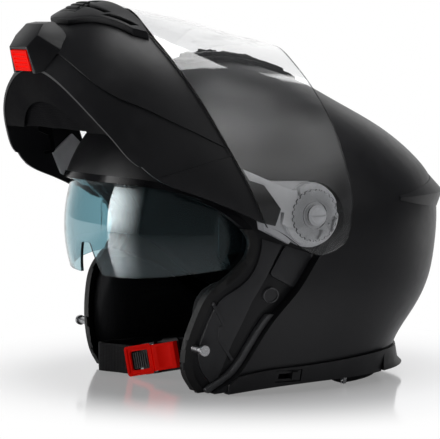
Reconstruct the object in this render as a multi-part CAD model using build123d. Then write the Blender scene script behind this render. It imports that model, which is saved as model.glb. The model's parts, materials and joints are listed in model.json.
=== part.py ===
from build123d import *
import math
import os

# Modular motorcycle helmet, chin bar raised as it rests, in millimetres.
# X points to the wearer's left, -Y to the front, Z up. The origin is on the table.

# Driving sizes of the shell
shell_length = 292.0
shell_width = 258.6
shell_height = 244.4
shell_wall = 3.5
rear_squareness = 2.2
points_per_quarter = 6

# Depth of the recessed front sides, and general fits
step_depth = 10.5
seat_gap = 0.3
overrun = 40.0
panel_wall = 2.2

# Hinge of the chin bar and visor
hinge_place_share = -0.147
hinge_height_share = 0.540
raised_angle = 74.0
hub_radius = 7.6
running_gap = 0.06
hinge_plate_radius = 22.5
hinge_plate_wall = 3.0
hinge_base_top_inset = 7.7
screw_radius = 5.8

# Chin bar and visor
chin_wall = 3.2
crease_depth = 1.1
chin_lining_wall = 9.0
visor_wall = 2.2
visor_gap = 0.3

# Sun visor
sun_pivot_place_share = -0.205
sun_pivot_height_share = 0.476
sun_radius = 112.0
sun_half_width = 101.0
sun_wall = 2.2
sun_squareness = 2.6

# Liners
liner_depth = 33.0
crown_pad_wall = 9.0
cheek_pad_depth = 44.0

half_length = shell_length / 2
half_width = shell_width / 2
hinge_place = hinge_place_share * half_length
hinge_height = hinge_height_share * shell_height
sun_place = sun_pivot_place_share * half_length
sun_height = sun_pivot_height_share * shell_height

# Shell surface: height, front, rear, widest place, half width, squareness of the front
SHELL_SHARES = [
    (-0.082, -0.959, 0.767, -0.096, 0.773, 2.2),
    (-0.025, -0.993, 0.753, -0.082, 0.804, 2.2),
    (0.041, -1.027, 0.726, -0.062, 0.843, 2.2),
    (0.123, -1.048, 0.753, -0.048, 0.889, 2.2),
    (0.205, -1.055, 0.856, -0.034, 0.936, 2.2),
    (0.295, -1.041, 0.945, -0.021, 0.978, 2.2),
    (0.401, -1.027, 0.986, -0.007, 0.998, 2.2),
    (0.513, -1.014, 1.000, 0.000, 1.000, 2.2),
    (0.619, -0.979, 0.966, -0.014, 0.963, 2.2),
    (0.701, -0.925, 0.849, -0.055, 0.893, 2.2),
    (0.783, -0.836, 0.664, -0.103, 0.781, 2.2),
    (0.865, -0.712, 0.411, -0.151, 0.619, 2.2),
    (0.926, -0.589, 0.219, -0.192, 0.464, 2.2),
    (0.967, -0.479, 0.034, -0.226, 0.294, 2.2),
    (0.988, -0.392, -0.086, -0.247, 0.178, 2.2),
    (0.996, -0.338, -0.158, -0.253, 0.104, 2.2),
]

# Chin bar and visor surface when shut: the same columns
SHIELD_SHARES = [
    (-0.033, -1.110, 0.740, -0.110, 0.851, 2.0),
    (0.020, -1.178, 0.740, -0.110, 0.882, 2.0),
    (0.082, -1.260, 0.726, -0.096, 0.897, 2.1),
    (0.164, -1.329, 0.801, -0.096, 0.928, 2.15),
    (0.237, -1.349, 0.897, -0.110, 0.959, 2.15),
    (0.307, -1.329, 0.945, -0.137, 0.986, 2.1),
    (0.401, -1.247, 0.979, -0.147, 1.000, 2.15),
    (0.516, -1.151, 1.000, -0.062, 1.010, 2.2),
    (0.614, -1.048, 0.966, -0.062, 1.010, 2.3),
    (0.700, -0.966, 0.849, -0.147, 0.998, 2.35),
    (0.777, -0.877, 0.767, -0.147, 0.986, 2.35),
]


def leaning(shares, index):
    """Upward and outward parts of the surface's normal at a row."""
    below = shares[max(index - 1, 0)]
    above = shares[min(index + 1, len(shares) - 1)]
    rise = (above[0] - below[0]) * shell_height
    run = max((below[4] - above[4]) * half_width, 0)
    length = math.hypot(rise, run)
    return run / length, rise / length


def signed_power(value, power):
    return math.copysign(abs(value) ** power, value)


def ring(z, front, rear, widest, half, square):
    """Closed level curve through a blunt front, a round rear and the widest place."""
    count = points_per_quarter * 4
    points = []
    for step in range(count):
        angle = 2 * math.pi * step / count
        across, along = math.cos(angle), math.sin(angle)
        power = rear_squareness if along > 0 else square
        reach = rear - widest if along > 0 else widest - front
        x = half * signed_power(across, 2 / power)
        y = widest + reach * signed_power(along, 2 / power)
        points.append((x, y, z))
    return Edge.make_spline(points, periodic=True, parameters=[step / count for step in range(count + 1)])


def level(shares, index, inset):
    """One row of shares as a face, drawn in by the inset along the surface's normal."""
    upward, outward = leaning(shares, index)
    height, front, rear, widest, half, square = shares[index]
    side = inset * outward
    edge = ring(
        height * shell_height - inset * upward,
        front * half_length + side,
        rear * half_length - side,
        widest * half_length,
        half * half_width - side,
        square,
    )
    return make_face(edge)


FORMS = {}


def form(name, shares, inset):
    """Closed solid within the surface of the rows, kept for the next use."""
    key = (name, round(inset, 3))
    if key not in FORMS:
        FORMS[key] = loft([level(shares, index, inset) for index in range(len(shares))])
    return FORMS[key]


def shell_form(inset):
    return form("shell", SHELL_SHARES, inset)


def shield_form(inset):
    return form("shield", SHIELD_SHARES, inset)


# Side views: places along the helmet and up it, as shares of the half length and height

# Step behind the chin bar, from below the jaw to the hinge
STEP_SHARES = [
    (-0.630, -0.123), (-0.616, -0.025), (-0.560, 0.016), (-0.488, 0.055), (-0.421, 0.126),
    (-0.333, 0.231), (-0.212, 0.325),
]
# Top of the recessed side, from the hinge to the brow
RECESS_TOP_SHARES = [(-0.411, 0.646), (-0.603, 0.585), (-0.808, 0.606)]

# Face opening, from the chin round the rear of the eyeport to the brow
OPENING_SHARES = [
    (-0.616, -0.057), (-0.637, 0.012), (-0.675, 0.049), (-0.695, 0.098), (-0.692, 0.168),
    (-0.664, 0.245), (-0.613, 0.315), (-0.545, 0.354), (-0.491, 0.387), (-0.445, 0.430),
    (-0.440, 0.468), (-0.491, 0.514), (-0.575, 0.556), (-0.678, 0.591), (-0.808, 0.616),
    (-0.959, 0.630), (-1.164, 0.636),
]

# Lower rim of the shell, from the chin to the nape
RIM_SHARES = [(-1.370, 0.0), (-0.575, 0.0), (-0.411, 0.014), (-0.137, 0.027), (0.137, 0.031), (1.4, 0.033)]

# Top edge of the trim along the rim
TRIM_SHARES = [(-0.520, 0.050), (-0.400, 0.070), (-0.189, 0.081), (0.206, 0.095), (1.4, 0.098)]

# Chin bar when shut: crease, top edge, bottom edge, rear edge of the arm and end of its skin
CREASE_SHARES = [
    (-1.575, 0.063), (-1.267, 0.063), (-1.144, 0.062), (-1.034, 0.078), (-0.959, 0.109),
    (-0.901, 0.147), (-0.801, 0.207), (-0.701, 0.270), (-0.616, 0.323), (-0.562, 0.368),
]
CHIN_TOP_SHARES = [
    (-1.575, 0.331), (-1.322, 0.333), (-1.267, 0.311), (-1.199, 0.299), (-1.137, 0.299),
    (-1.007, 0.307), (-0.808, 0.321), (-0.589, 0.340), (-0.425, 0.360),
]
CHIN_BOTTOM_SHARES = [
    (-1.575, 0.011), (-1.158, 0.012), (-1.068, 0.012), (-0.961, 0.018), (-0.879, 0.027),
    (-0.773, 0.043), (-0.671, 0.062), (-0.640, 0.074),
]
ARM_REAR_SHARES = [
    (-0.634, 0.082), (-0.550, 0.113), (-0.424, 0.207), (-0.315, 0.288), (-0.206, 0.363),
]
SKIN_END_SHARES = [(-0.380, 0.400), (-0.240, 0.432), (-0.170, 0.400)]

# Visor when shut: lower edge, side plate round the hinge, upper edge
VISOR_LOWER_SHARES = [
    (-1.575, 0.325), (-1.322, 0.327), (-1.267, 0.305), (-1.199, 0.293), (-1.137, 0.293),
    (-1.007, 0.301), (-0.808, 0.315), (-0.589, 0.333), (-0.380, 0.354), (-0.199, 0.368),
]
VISOR_PLATE_SHARES = [
    (-0.177, 0.372), (-0.028, 0.462), (0.045, 0.514), (0.052, 0.572), (0.020, 0.622),
    (-0.039, 0.645), (-0.132, 0.669),
]
VISOR_UPPER_SHARES = [
    (-0.219, 0.681), (-0.310, 0.683), (-0.508, 0.691), (-0.636, 0.693), (-0.786, 0.698),
    (-0.863, 0.710), (-0.927, 0.750), (-1.575, 0.753),
]

# Panels on the recessed side
COVER_SHARES = [(-0.273, 0.450), (-0.092, 0.414), (-0.216, 0.320), (-0.349, 0.365)]
JAW_FRONT_SHARES = [
    (-0.560, 0.030), (-0.606, 0.060), (-0.640, 0.105), (-0.640, 0.168), (-0.614, 0.235),
    (-0.565, 0.295), (-0.500, 0.325), (-0.436, 0.365), (-0.395, 0.425), (-0.385, 0.470),
]
JAW_REAR_SHARES = [(-0.290, 0.452), (-0.362, 0.360), (-0.429, 0.285), (-0.500, 0.160), (-0.540, 0.060)]
CHEVRON_SHARES = [(-0.615, 0.290), (-0.551, 0.216), (-0.566, 0.209), (-0.564, 0.169), (-0.490, 0.106)]


def spots(shares):
    """Side-view places in mm."""
    return [(along * half_length, up * shell_height) for along, up in shares]


def pushed(places, amount):
    """Side-view line moved to the left of its direction by an amount."""
    moved = []
    for index, (y, z) in enumerate(places):
        before = places[max(index - 1, 0)]
        after = places[min(index + 1, len(places) - 1)]
        run, rise = after[0] - before[0], after[1] - before[1]
        length = math.hypot(run, rise)
        moved.append((y - amount * rise / length, z + amount * run / length))
    return moved


def side_block(runs, start=-shell_width, stop=shell_width):
    """Side view closed through runs of places, each run a smooth curve, stretched along X."""
    edges = []
    for index, run in enumerate(runs):
        points = [(start, y, z) for y, z in run]
        following = (start, *runs[(index + 1) % len(runs)][0])
        if len(points) > 2:
            edges.append(Spline(*points))
        elif len(points) == 2:
            edges.append(Line(*points))
        edges.append(Line(points[-1], following))
    return extrude(make_face(edges), amount=stop - start, dir=(1, 0, 0))


def straight_block(corners, start=-shell_width, stop=shell_width):
    """Side view with straight sides, stretched along X."""
    return side_block([[corner] for corner in corners], start, stop)


def bar(radius, start, stop, y, z):
    """Round bar along X."""
    middle = (start + stop) / 2
    return Pos(middle, y, z) * Rot(0, 90, 0) * Cylinder(radius, stop - start)


def box(low, high):
    """Box between two corners."""
    sizes = [b - a for a, b in zip(low, high)]
    centre = [(a + b) / 2 for a, b in zip(low, high)]
    return Pos(*centre) * Box(*sizes)


def mirrored(shape):
    return mirror(shape, about=Plane.YZ)


def turned(shape, angle, y=hinge_place, z=hinge_height):
    """Shape turned about a side-to-side axis, its front upward."""
    return shape.rotate(Axis((0, y, z), (-1, 0, 0)), angle)


def raised(shape):
    return turned(shape, raised_angle)


far_front = -shell_length
far_rear = shell_length
far_below = -overrun
far_above = shell_height + overrun


def front_region(widen):
    """Recessed front side in the side view: ahead of the step, round the hinge, below the brow."""
    radius = hinge_recess_radius + widen
    step = pushed(spots(STEP_SHARES), -widen)
    arc = []
    for turn in recess_arc_turns:
        angle = math.radians(turn)
        arc.append((hinge_place + radius * math.cos(angle), hinge_height + radius * math.sin(angle)))
    top = [(y, z + widen) for y, z in spots(RECESS_TOP_SHARES)]
    corners = [[place] for place in top]
    corners += [[(far_front, top[-1][1])], [(far_front, step[0][1])]]
    return side_block([step + arc] + corners)


hinge_recess_radius = hinge_plate_radius + 2.0
recess_arc_turns = (-60, -30, 0, 30, 60, 90)


def stepped(inset):
    """Solid under the shell's surface with recessed front sides, drawn in by the inset."""
    key = ("stepped", round(inset, 3))
    if key not in FORMS:
        recess = front_region(inset) - shell_form(inset + step_depth)
        FORMS[key] = shell_form(inset) - recess
    return FORMS[key]


def opening_block(grow):
    """Face opening seen from the side, grown all round."""
    edge = pushed(spots(OPENING_SHARES), -grow)
    return side_block([edge, [(far_front, edge[-1][1])], [(far_front, edge[0][1])]])


def under_rim(lift):
    """Everything below the lower rim, lifted."""
    edge = [(y, z + lift) for y, z in spots(RIM_SHARES)]
    return side_block([edge, [(far_rear, far_below)], [(far_front, far_below)], [(far_front, edge[0][1])]])


def interpolated(shares, height):
    """Row of shares at a height share, between its neighbours."""
    for low, high in zip(shares, shares[1:]):
        if low[0] <= height <= high[0]:
            part = (height - low[0]) / (high[0] - low[0])
            return [a + (b - a) * part for a, b in zip(low, high)]
    return shares[-1]


def stack(levels, rear_extra=None, ruled=False):
    """Solid through level curves of the shell: each level has its height and its inset."""
    faces = []
    for index, (z, inset) in enumerate(levels):
        _, front, rear, widest, half, square = interpolated(SHELL_SHARES, z / shell_height)
        extra = rear_extra[index] if rear_extra else 0
        edge = ring(
            z,
            front * half_length + inset,
            rear * half_length - inset + extra,
            widest * half_length,
            half * half_width - inset,
            square,
        )
        faces.append(make_face(edge))
    return loft(faces, ruled=ruled)


# Shell and its trims

trim_wall = 1.2
trim_reach = 5.0
rim_lip = 1.5
lever_place = -32.0
lever_height = 13.2
lever_slot_length = 16.0
lever_slot_height = 4.0
anchor_place = -6.0
anchor_height = 15.0


def lever_slot(grow):
    """Slot through the left rim for the sun visor lever."""
    reach = lever_slot_length / 2 + grow
    tall = lever_slot_height / 2 + grow
    return box(
        (half_width / 2, lever_place - reach, lever_height - tall),
        (shell_width, lever_place + reach, lever_height + tall),
    )


def make_outer_shell():
    wall = stepped(0) - stepped(shell_wall)
    wall = wall - opening_block(trim_wall + seat_gap) - under_rim(rim_lip)
    return wall - lever_slot(0) - sun_lane()


def make_opening_trim():
    """Edge moulding that hooks over both faces of the shell round the face opening."""
    band = opening_block(trim_reach) - opening_block(0)
    body = (stepped(-trim_wall) & band) - stepped(shell_wall + trim_wall)
    groove = (stepped(-seat_gap) - stepped(shell_wall + seat_gap)) - opening_block(trim_wall)
    return body - groove - under_rim(0) - sun_lane()


brow_split_share = 0.500


def split_opening_trim():
    """Glossy brow moulding above, matt jaw moulding below."""
    whole = make_opening_trim()
    cut_height = brow_split_share * shell_height
    upper = straight_block([
        (far_front, cut_height), (far_rear, cut_height), (far_rear, far_above), (far_front, far_above)])
    lower = straight_block([
        (far_front, 0), (far_rear, 0),
        (far_rear, cut_height - seat_gap), (far_front, cut_height - seat_gap)])
    stud_holes = bar(stud_radius + seat_gap, -shell_width, shell_width, stud_place, stud_height)
    return whole & upper, (whole & lower) - stud_holes


base_wall = 2.0
base_split = 62.0
base_flare = 10.0
joint_gap = 0.4


def make_base_trims():
    """Trim along the rim: two side lengths and a flared rear length."""
    top = spots(TRIM_SHARES)
    below_top = side_block([top, [(far_rear, far_below)], [(top[0][0], far_below)]])
    outer = shell_form(-base_wall - seat_gap) & below_top
    band = outer - shell_form(-seat_gap) - under_rim(0)
    foot = (shell_form(-seat_gap) & below_top) - shell_form(shell_wall) - under_rim(0)
    foot = foot & under_rim(rim_lip - seat_gap)
    band = (band + foot) - front_region(seat_gap)
    sides = band & box((-shell_width, far_front, far_below), (shell_width, base_split, far_above))
    sides = sides - lever_window()
    left = sides & box((0, far_front, far_below), (shell_width, far_rear, far_above))
    right = sides & box((-shell_width, far_front, far_below), (0, far_rear, far_above))
    crest = TRIM_SHARES[-1][1] * shell_height
    middle = crest / 2
    low = RIM_SHARES[-1][1] * shell_height
    levels = [(low, -base_wall - seat_gap), (middle, -base_wall - seat_gap), (crest, -base_wall / 2)]
    skirt = stack(levels, rear_extra=[base_flare, base_flare / 2, 0], ruled=True)
    rear = skirt - shell_form(-seat_gap)
    rear = rear + foot
    rear = rear & box((-shell_width, base_split + joint_gap, low), (shell_width, far_rear, far_above))
    return left, right, rear


window_margin = 0.5


def lever_window():
    """Window in the left trim that shows the lever's bezel."""
    return lever_slot(window_margin + bezel_margin)


bezel_margin = 2.0
bezel_wall = 1.2
lever_travel = 10.0
lever_length = 5.6
lever_knob_wall = 3.4
foot_gap = 1.2


def make_lever_bezel():
    """Thin frame round the lever's slot, on the shell's surface."""
    frame = lever_slot(bezel_margin) - lever_slot(0)
    return (frame & shell_form(-bezel_wall - seat_gap)) - shell_form(-seat_gap)


def make_sun_visor_lever():
    """Knob outside, neck through the slot and a foot inside the shell, at the lowered end."""
    middle = lever_place + (lever_slot_length - lever_length) / 2 - joint_gap
    half = lever_length / 2
    neck_half = (lever_slot_height - joint_gap) / 2
    knob_half = lever_slot_height / 2 + bezel_margin / 2
    neck = box((half_width / 2, middle - half, lever_height - neck_half),
               (shell_width, middle + half, lever_height + neck_half))
    neck = (neck & shell_form(-bezel_wall - seat_gap * 3)) - shell_form(shell_wall + foot_gap * 2)
    cap = box((half_width / 2, middle - half, lever_height - knob_half),
              (shell_width, middle + half, lever_height + knob_half))
    cap = (cap & shell_form(-lever_knob_wall)) - shell_form(-bezel_wall - seat_gap * 2)
    foot = box((half_width / 2, middle - half, lever_height - knob_half),
               (shell_width, middle + half, lever_height + knob_half))
    foot = (foot & shell_form(shell_wall + foot_gap)) - shell_form(shell_wall + foot_gap + base_wall)
    return neck + cap + foot


def lever_pocket():
    """Room inside the shell for the lever's foot over its travel."""
    tall = lever_slot_height + bezel_margin
    reach = lever_slot_length / 2 + bezel_margin
    block = box((half_width / 2, lever_place - reach, lever_height - tall),
                (shell_width, lever_place + reach, lever_height + tall))
    return block - shell_form(shell_wall + base_wall * 2)


# Panels on the recessed side


def side_slab(runs, outer, inner):
    """Left panel between two depths under the shell's surface."""
    return (side_block(runs, 0, shell_width) & shell_form(outer)) - shell_form(inner)


panel_outer = step_depth - seat_gap - panel_wall
panel_inner = step_depth - seat_gap


def make_jaw_panel():
    """Side of the jaw up to the eyeport, with a raised chevron."""
    panel = side_slab([spots(JAW_FRONT_SHARES), *[[place] for place in spots(JAW_REAR_SHARES)]],
                      panel_outer, panel_inner)
    line = spots(CHEVRON_SHARES)
    left_side, right_side = pushed(line, chevron_width / 2), pushed(line, -chevron_width / 2)
    chevron = side_slab([[place] for place in left_side + right_side[::-1]],
                        panel_outer - chevron_height, panel_inner)
    stud_hole = bar(stud_radius + seat_gap, 0, shell_width, stud_place, stud_height)
    lane = front_region(-seat_gap * 2 - strip_width)
    return ((panel + chevron) & lane) - opening_block(trim_reach + seat_gap) - stud_hole


chevron_width = 2.0
chevron_height = 0.7
stud_radius = 2.6
stud_head_radius = 3.9
stud_head_wall = 2.2
stud_place = -96.5
stud_height = 35.0
stud_reach = 100.7
plug_radius = 5.6
plug_place = -48.9
plug_height = 73.8
plug_recess = 0.9
cover_corner = 3.0


def make_side_cover():
    """Four-sided cover below the hinge, rounded at its corners."""
    corners = [(0, y, z) for y, z in spots(COVER_SHARES)]
    outline = FilletPolyline(*corners, radius=cover_corner, close=True)
    block = extrude(make_face(outline), amount=shell_width, dir=(1, 0, 0))
    block = block & front_region(-seat_gap * 2)
    return (block & shell_form(panel_outer)) - shell_form(panel_inner)


def make_plug():
    plug = bar(plug_radius, 0, shell_width, plug_place, plug_height)
    plug = (plug & shell_form(panel_outer)) - shell_form(panel_inner)
    dish = bar(plug_radius - plug_recess, 0, shell_width, plug_place, plug_height)
    return plug - (dish & (shell_form(0) - shell_form(panel_outer + plug_recess)))


def make_stud():
    """Latch stud that the chin bar's hook closes round."""
    neck = bar(stud_radius, half_width / 2, stud_reach, stud_place, stud_height)
    head = bar(stud_head_radius, stud_reach - stud_head_wall, stud_reach, stud_place, stud_height)
    return (neck + head) - shell_form(panel_inner)


strip_width = 4.2
strip_top_share = 0.245


def make_step_strip():
    """Bevelled filler strip along the lower half of the step."""
    lane = front_region(-seat_gap) - front_region(-seat_gap - strip_width)
    height = strip_top_share * shell_height
    lane = lane & box((0, far_front, 0), (shell_width, hinge_place, height))
    strip = (lane & shell_form(step_depth / 2)) - shell_form(panel_inner) - under_rim(rim_lip)
    return strip - opening_block(trim_reach + seat_gap)


# Hinge

base_top = half_width - hinge_base_top_inset
plate_low = base_top + seat_gap
plate_high = plate_low + hinge_plate_wall
hub_high = half_width * SHIELD_SHARES[7][4] + visor_gap + visor_wall
base_lobe_shares = [(-0.147, 0.640), (-0.385, 0.643), (-0.420, 0.600), (-0.400, 0.500), (-0.260, 0.455)]
lobe_drop = 1.5


def make_hinge_base():
    """Plate in the recess that carries the hub for the chin bar and visor."""
    lobe = straight_block(spots(base_lobe_shares) + [(hinge_place, hinge_height)], 0, base_top - lobe_drop)
    disc = bar(hinge_recess_radius - seat_gap * 3, 0, base_top, hinge_place, hinge_height)
    plate = (lobe + disc) - shell_form(panel_inner)
    hub = bar(hub_radius, base_top, hub_high, hinge_place, hinge_height)
    bore = bar(screw_bore_radius, base_top, hub_high, hinge_place, hinge_height)
    dish = bar(screw_radius + running_gap, hub_high - screw_head_wall, hub_high, hinge_place, hinge_height)
    return plate + hub - bore - dish


screw_bore_radius = 2.56
screw_shank_radius = 2.5
screw_head_wall = 1.4


def make_hinge_screw():
    """Screw down the middle of the hub."""
    head = bar(screw_radius, hub_high - screw_head_wall + running_gap, hub_high + seat_gap,
               hinge_place, hinge_height)
    shank = bar(screw_shank_radius, base_top + seat_gap, hub_high - screw_head_wall / 2,
                hinge_place, hinge_height)
    slot = box((hub_high - seat_gap, hinge_place - screw_radius, hinge_height - seat_gap * 2),
               (shell_width, hinge_place + screw_radius, hinge_height + seat_gap * 2))
    return head + shank - slot


# Slots of the hinge plate round the hub: radius, turn from straight ahead, length direction turn
PLATE_SLOTS = [(26.5, -2, 80), (15.2, -112, 60), (18.8, -152, 80), (22.0, -190, 120), (17.0, 195, 30), (21.5, 57, 90)]
plate_slot_width = 3.0
plate_slot_length = 8.0
NECK_SHARES = [
    (-0.147, 0.610), (-0.230, 0.560), (-0.330, 0.470), (-0.480, 0.360), (-0.620, 0.300),
    (-0.560, 0.215), (-0.430, 0.232), (-0.320, 0.312), (-0.215, 0.395), (-0.105, 0.470),
]
neck_wall = 3.0


def make_hinge_plate():
    """Pivot plate of the chin bar: flat disc on the hub and a neck that follows the arm."""
    disc = bar(hinge_plate_radius, plate_low, plate_high, hinge_place, hinge_height)
    neck_block = straight_block(spots(NECK_SHARES), 0, shell_width)
    neck = (neck_block & shield_form(chin_wall + seat_gap)) - shield_form(chin_wall + seat_gap + neck_wall)
    plate = raised(disc + neck)
    for reach, turn, lie in PLATE_SLOTS:
        angle = math.radians(turn)
        y = hinge_place - reach * math.cos(angle)
        z = hinge_height + reach * math.sin(angle)
        hole = Box(shell_width, plate_slot_length, plate_slot_width)
        plate = plate - Pos(half_width, y, z) * Rot(lie, 0, 0) * hole
    bore = bar(hub_radius + running_gap, 0, shell_width, hinge_place, hinge_height)
    return plate - bore


# Chin bar


def crease_forms():
    """Chin bar's outer surface, set back below its crease."""
    crease = spots(CREASE_SHARES)
    below = side_block([crease, [(crease[-1][0], far_below)], [(far_front, far_below)]])
    return shield_form(0) - (below - shield_form(crease_depth))


def chin_outline(top_drop, bottom_lift, rear_limit=None):
    """Side view of the chin bar, its edges drawn in, cut off ahead of a limit if one is given."""
    top = pushed(spots(CHIN_TOP_SHARES), -top_drop)
    bottom = pushed(spots(CHIN_BOTTOM_SHARES), bottom_lift)
    if rear_limit is None:
        ends = [[place] for place in spots(SKIN_END_SHARES)]
        rear = spots(ARM_REAR_SHARES)
        return side_block([top, *ends, rear[::-1], bottom[::-1]])
    block = side_block([top, bottom[::-1]])
    return block & box((-shell_width, far_front, far_below), (shell_width, rear_limit, far_above))


lining_rear = -119.0
lining_inset = 2.0
chin_floor_wall = 2.4
chin_floor_reach = 26.0
curtain_wall = 1.6
curtain_reach = 58.0
curtain_half_width = 62.0


def button_pocket(front_gap=overrun):
    """Notch in the chin's lower edge for the release button."""
    return box(
        (-button_half_width - seat_gap, button_front - front_gap, far_below),
        (button_half_width + seat_gap, button_rear + seat_gap, button_top + button_travel + seat_gap),
    )


button_half_width = 13.0
button_front = -183.5
button_rear = -168.0
button_bottom = -3.2
button_top = 7.0
button_travel = 3.0


def make_chin_bar_shell():
    wall = (crease_forms() - shield_form(chin_wall)) & chin_outline(0, 0)
    for vent in vent_throats():
        wall = wall - vent
    return raised(wall - button_pocket())


def make_chin_lining():
    """Impact lining behind the chin bar's wall."""
    outer = chin_wall + seat_gap
    block = chin_outline(lining_inset, lining_inset + chin_floor_wall, lining_rear)
    lining = (shield_form(outer) & block) - shield_form(outer + chin_lining_wall)
    return raised(lining - button_pocket())


def make_chin_floor():
    """Flat underside that closes the gap below the lining."""
    outer = chin_wall + seat_gap
    lower = pushed(spots(CHIN_BOTTOM_SHARES), seat_gap)
    upper = pushed(spots(CHIN_BOTTOM_SHARES), seat_gap + chin_floor_wall)
    slab = side_block([upper, lower[::-1]])
    slab = slab & box((-shell_width, far_front, far_below), (shell_width, lining_rear, far_above))
    plate = (shield_form(outer) & slab) - shield_form(outer + chin_floor_reach)
    return raised(plate - button_pocket())


def make_chin_curtain():
    """Cloth flap that reaches from the chin's floor towards the neck."""
    outer = chin_wall + seat_gap + chin_lining_wall + seat_gap
    lower = pushed(spots(CHIN_BOTTOM_SHARES), chin_floor_wall + seat_gap * 2)
    upper = pushed(spots(CHIN_BOTTOM_SHARES), chin_floor_wall + seat_gap * 2 + curtain_wall)
    slab = side_block([upper, lower[::-1]])
    slab = slab & box((-curtain_half_width, far_front, far_below),
                      (curtain_half_width, lining_rear, far_above))
    return raised((shield_form(outer) & slab) - shield_form(outer + curtain_reach))


# Front views: places across and up, in mm from the middle of the chin
VENT_OUTLINE = [(-69, 68), (-63, 60), (-38, 48), (-14, 35), (14, 35), (38, 48), (63, 60), (69, 68), (58, 71), (-58, 71)]
VENT_SLOTS = [
    [(11, 52), (13, 56), (40, 58), (37, 54)],
    [(38, 51), (41, 56), (62, 66), (60, 61)],
]
vent_proud = 5.0
vent_slot_depth = 4.0


def front_block(corners, start=-shell_length, stop=0.0):
    """Front view with straight sides, stretched along Y."""
    points = [(x, start, z) for x, z in corners]
    return extrude(make_face(Polyline(*points, close=True)), amount=stop - start, dir=(0, 1, 0))


def vent_slots():
    """Slots of the chin vent on both sides, in front view."""
    slots = []
    for corners in VENT_SLOTS:
        slots.append(front_block(corners))
        slots.append(front_block([(-x, z) for x, z in corners[::-1]]))
    return slots


def vent_throats():
    return vent_slots()


def make_chin_vent():
    """Raised intake moulding across the chin with slots and a seat for its slider."""
    frame = front_block(VENT_OUTLINE) & shield_form(-vent_proud)
    frame = frame - shield_form(-seat_gap)
    for slot in vent_slots():
        frame = frame - slot
    frame = frame - slider_pocket()
    return raised(frame)


slider_half_width = 12.0
slider_low = 44.0
slider_high = 62.0
slider_travel = 4.0
slider_depth = 2.2
slider_lean = 1.2


def slider_pocket():
    face = box((-slider_half_width - seat_gap, far_front, slider_low - seat_gap),
               (slider_half_width + seat_gap, 0, slider_high + slider_travel + seat_gap))
    return face - shield_form(-vent_proud + slider_depth + slider_lean)


def make_chin_vent_slider():
    """Sliding shutter of the chin vent with three finger ribs."""
    block = box((-slider_half_width, far_front, slider_low), (slider_half_width, 0, slider_high))
    plate = (block & shield_form(-vent_proud)) - shield_form(-vent_proud + slider_depth - seat_gap * 2)
    for rib in range(slider_ribs):
        low = slider_low + (rib + 1) * (slider_high - slider_low) / (slider_ribs + 1)
        ridge = box((-slider_half_width * rib_span_share, far_front, low - rib_half),
                    (slider_half_width * rib_span_share, 0, low + rib_half))
        plate = plate + ((ridge & shield_form(-vent_proud - rib_height)) - shield_form(-vent_proud + slider_depth / 2))
    return raised(plate)


slider_ribs = 3
rib_span_share = 0.8
rib_half = 1.0
rib_height = 1.2

# Blunt prow at the middle of the chin: a side view, cut by flat planes that lean back from its nose and up from its foot
beak_front = -198.5
beak_back = -166.0
beak_foot = -2.6
beak_top = 27.5
beak_nose_half_width = 14.5
beak_root_half_width = 34.5
beak_foot_half_width = 20.0
BEAK_SIDE_SHARES = [(0, 0), (0.615, 0), (0.80, 0.30), (1, 0.60), (0.955, 0.93), (0.80, 1), (0, 1)]


def make_chin_beak():
    """Blunt prow at the middle of the chin that houses the release button."""
    length, height = beak_front - beak_back, beak_top - beak_foot
    side = [(beak_back + length * back, beak_foot + height * up) for back, up in BEAK_SIDE_SHARES]
    block = straight_block(side, -beak_root_half_width, beak_root_half_width)
    plan = [(-beak_nose_half_width, beak_front), (beak_nose_half_width, beak_front),
            (beak_root_half_width, beak_back), (-beak_root_half_width, beak_back)]
    block = block & plan_block(plan, beak_foot, beak_top)
    front = [(-beak_foot_half_width, beak_foot), (beak_foot_half_width, beak_foot),
             (beak_root_half_width, beak_top), (-beak_root_half_width, beak_top)]
    block = block & front_block(front)
    return raised(block - shield_form(-seat_gap) - button_pocket(seat_gap))


def make_release_button():
    """Button under the chin, pressed up into the bar."""
    corners = [
        (button_rear, button_bottom), (button_front, button_bottom),
        (button_front, button_top * 0.6), (button_front + 4, button_top), (button_rear, button_top)]
    block = straight_block(corners, -button_half_width, button_half_width)
    for rib in range(button_ribs):
        y = button_front + (rib + 1) * (button_rear - button_front) / (button_ribs + 1)
        groove = box((-button_half_width * rib_span_share, y - rib_half / 2, far_below),
                     (button_half_width * rib_span_share, y + rib_half / 2, button_bottom + rib_half))
        block = block - groove
    return raised(block)


button_ribs = 4


# Latch hooks: their outline is given along and across the line from the hook's pin to the stud

claw_pin_radius = 2.0
claw_pin_place = -112.0
claw_pin_height = 44.0
claw_line_turn = -30.0
claw_open_turn = 25.0
claw_low = 95.8
claw_wall = 2.0
claw_spacer_radius = 4.0
CLAW_OUTLINE = [
    (-5, -4), (8, -4), (13, 3.4), (24.6, 3.4), (24.6, -3), (27, -3), (27, 5), (25, 7), (-2, 7.5), (-5, 5)]


def make_latch_claw():
    """Hook that closes over the stud; at rest it is turned open."""
    turn = math.radians(claw_line_turn)
    places = []
    for along, across in CLAW_OUTLINE:
        y = claw_pin_place + along * math.cos(turn) - across * math.sin(turn)
        z = claw_pin_height + along * math.sin(turn) + across * math.cos(turn)
        places.append((y, z))
    hook = straight_block(places, claw_low, claw_low + claw_wall)
    hook = hook - bar(claw_pin_radius + running_gap, 0, shell_width, claw_pin_place, claw_pin_height)
    return raised(turned(hook, -claw_open_turn, claw_pin_place, claw_pin_height))


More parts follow.
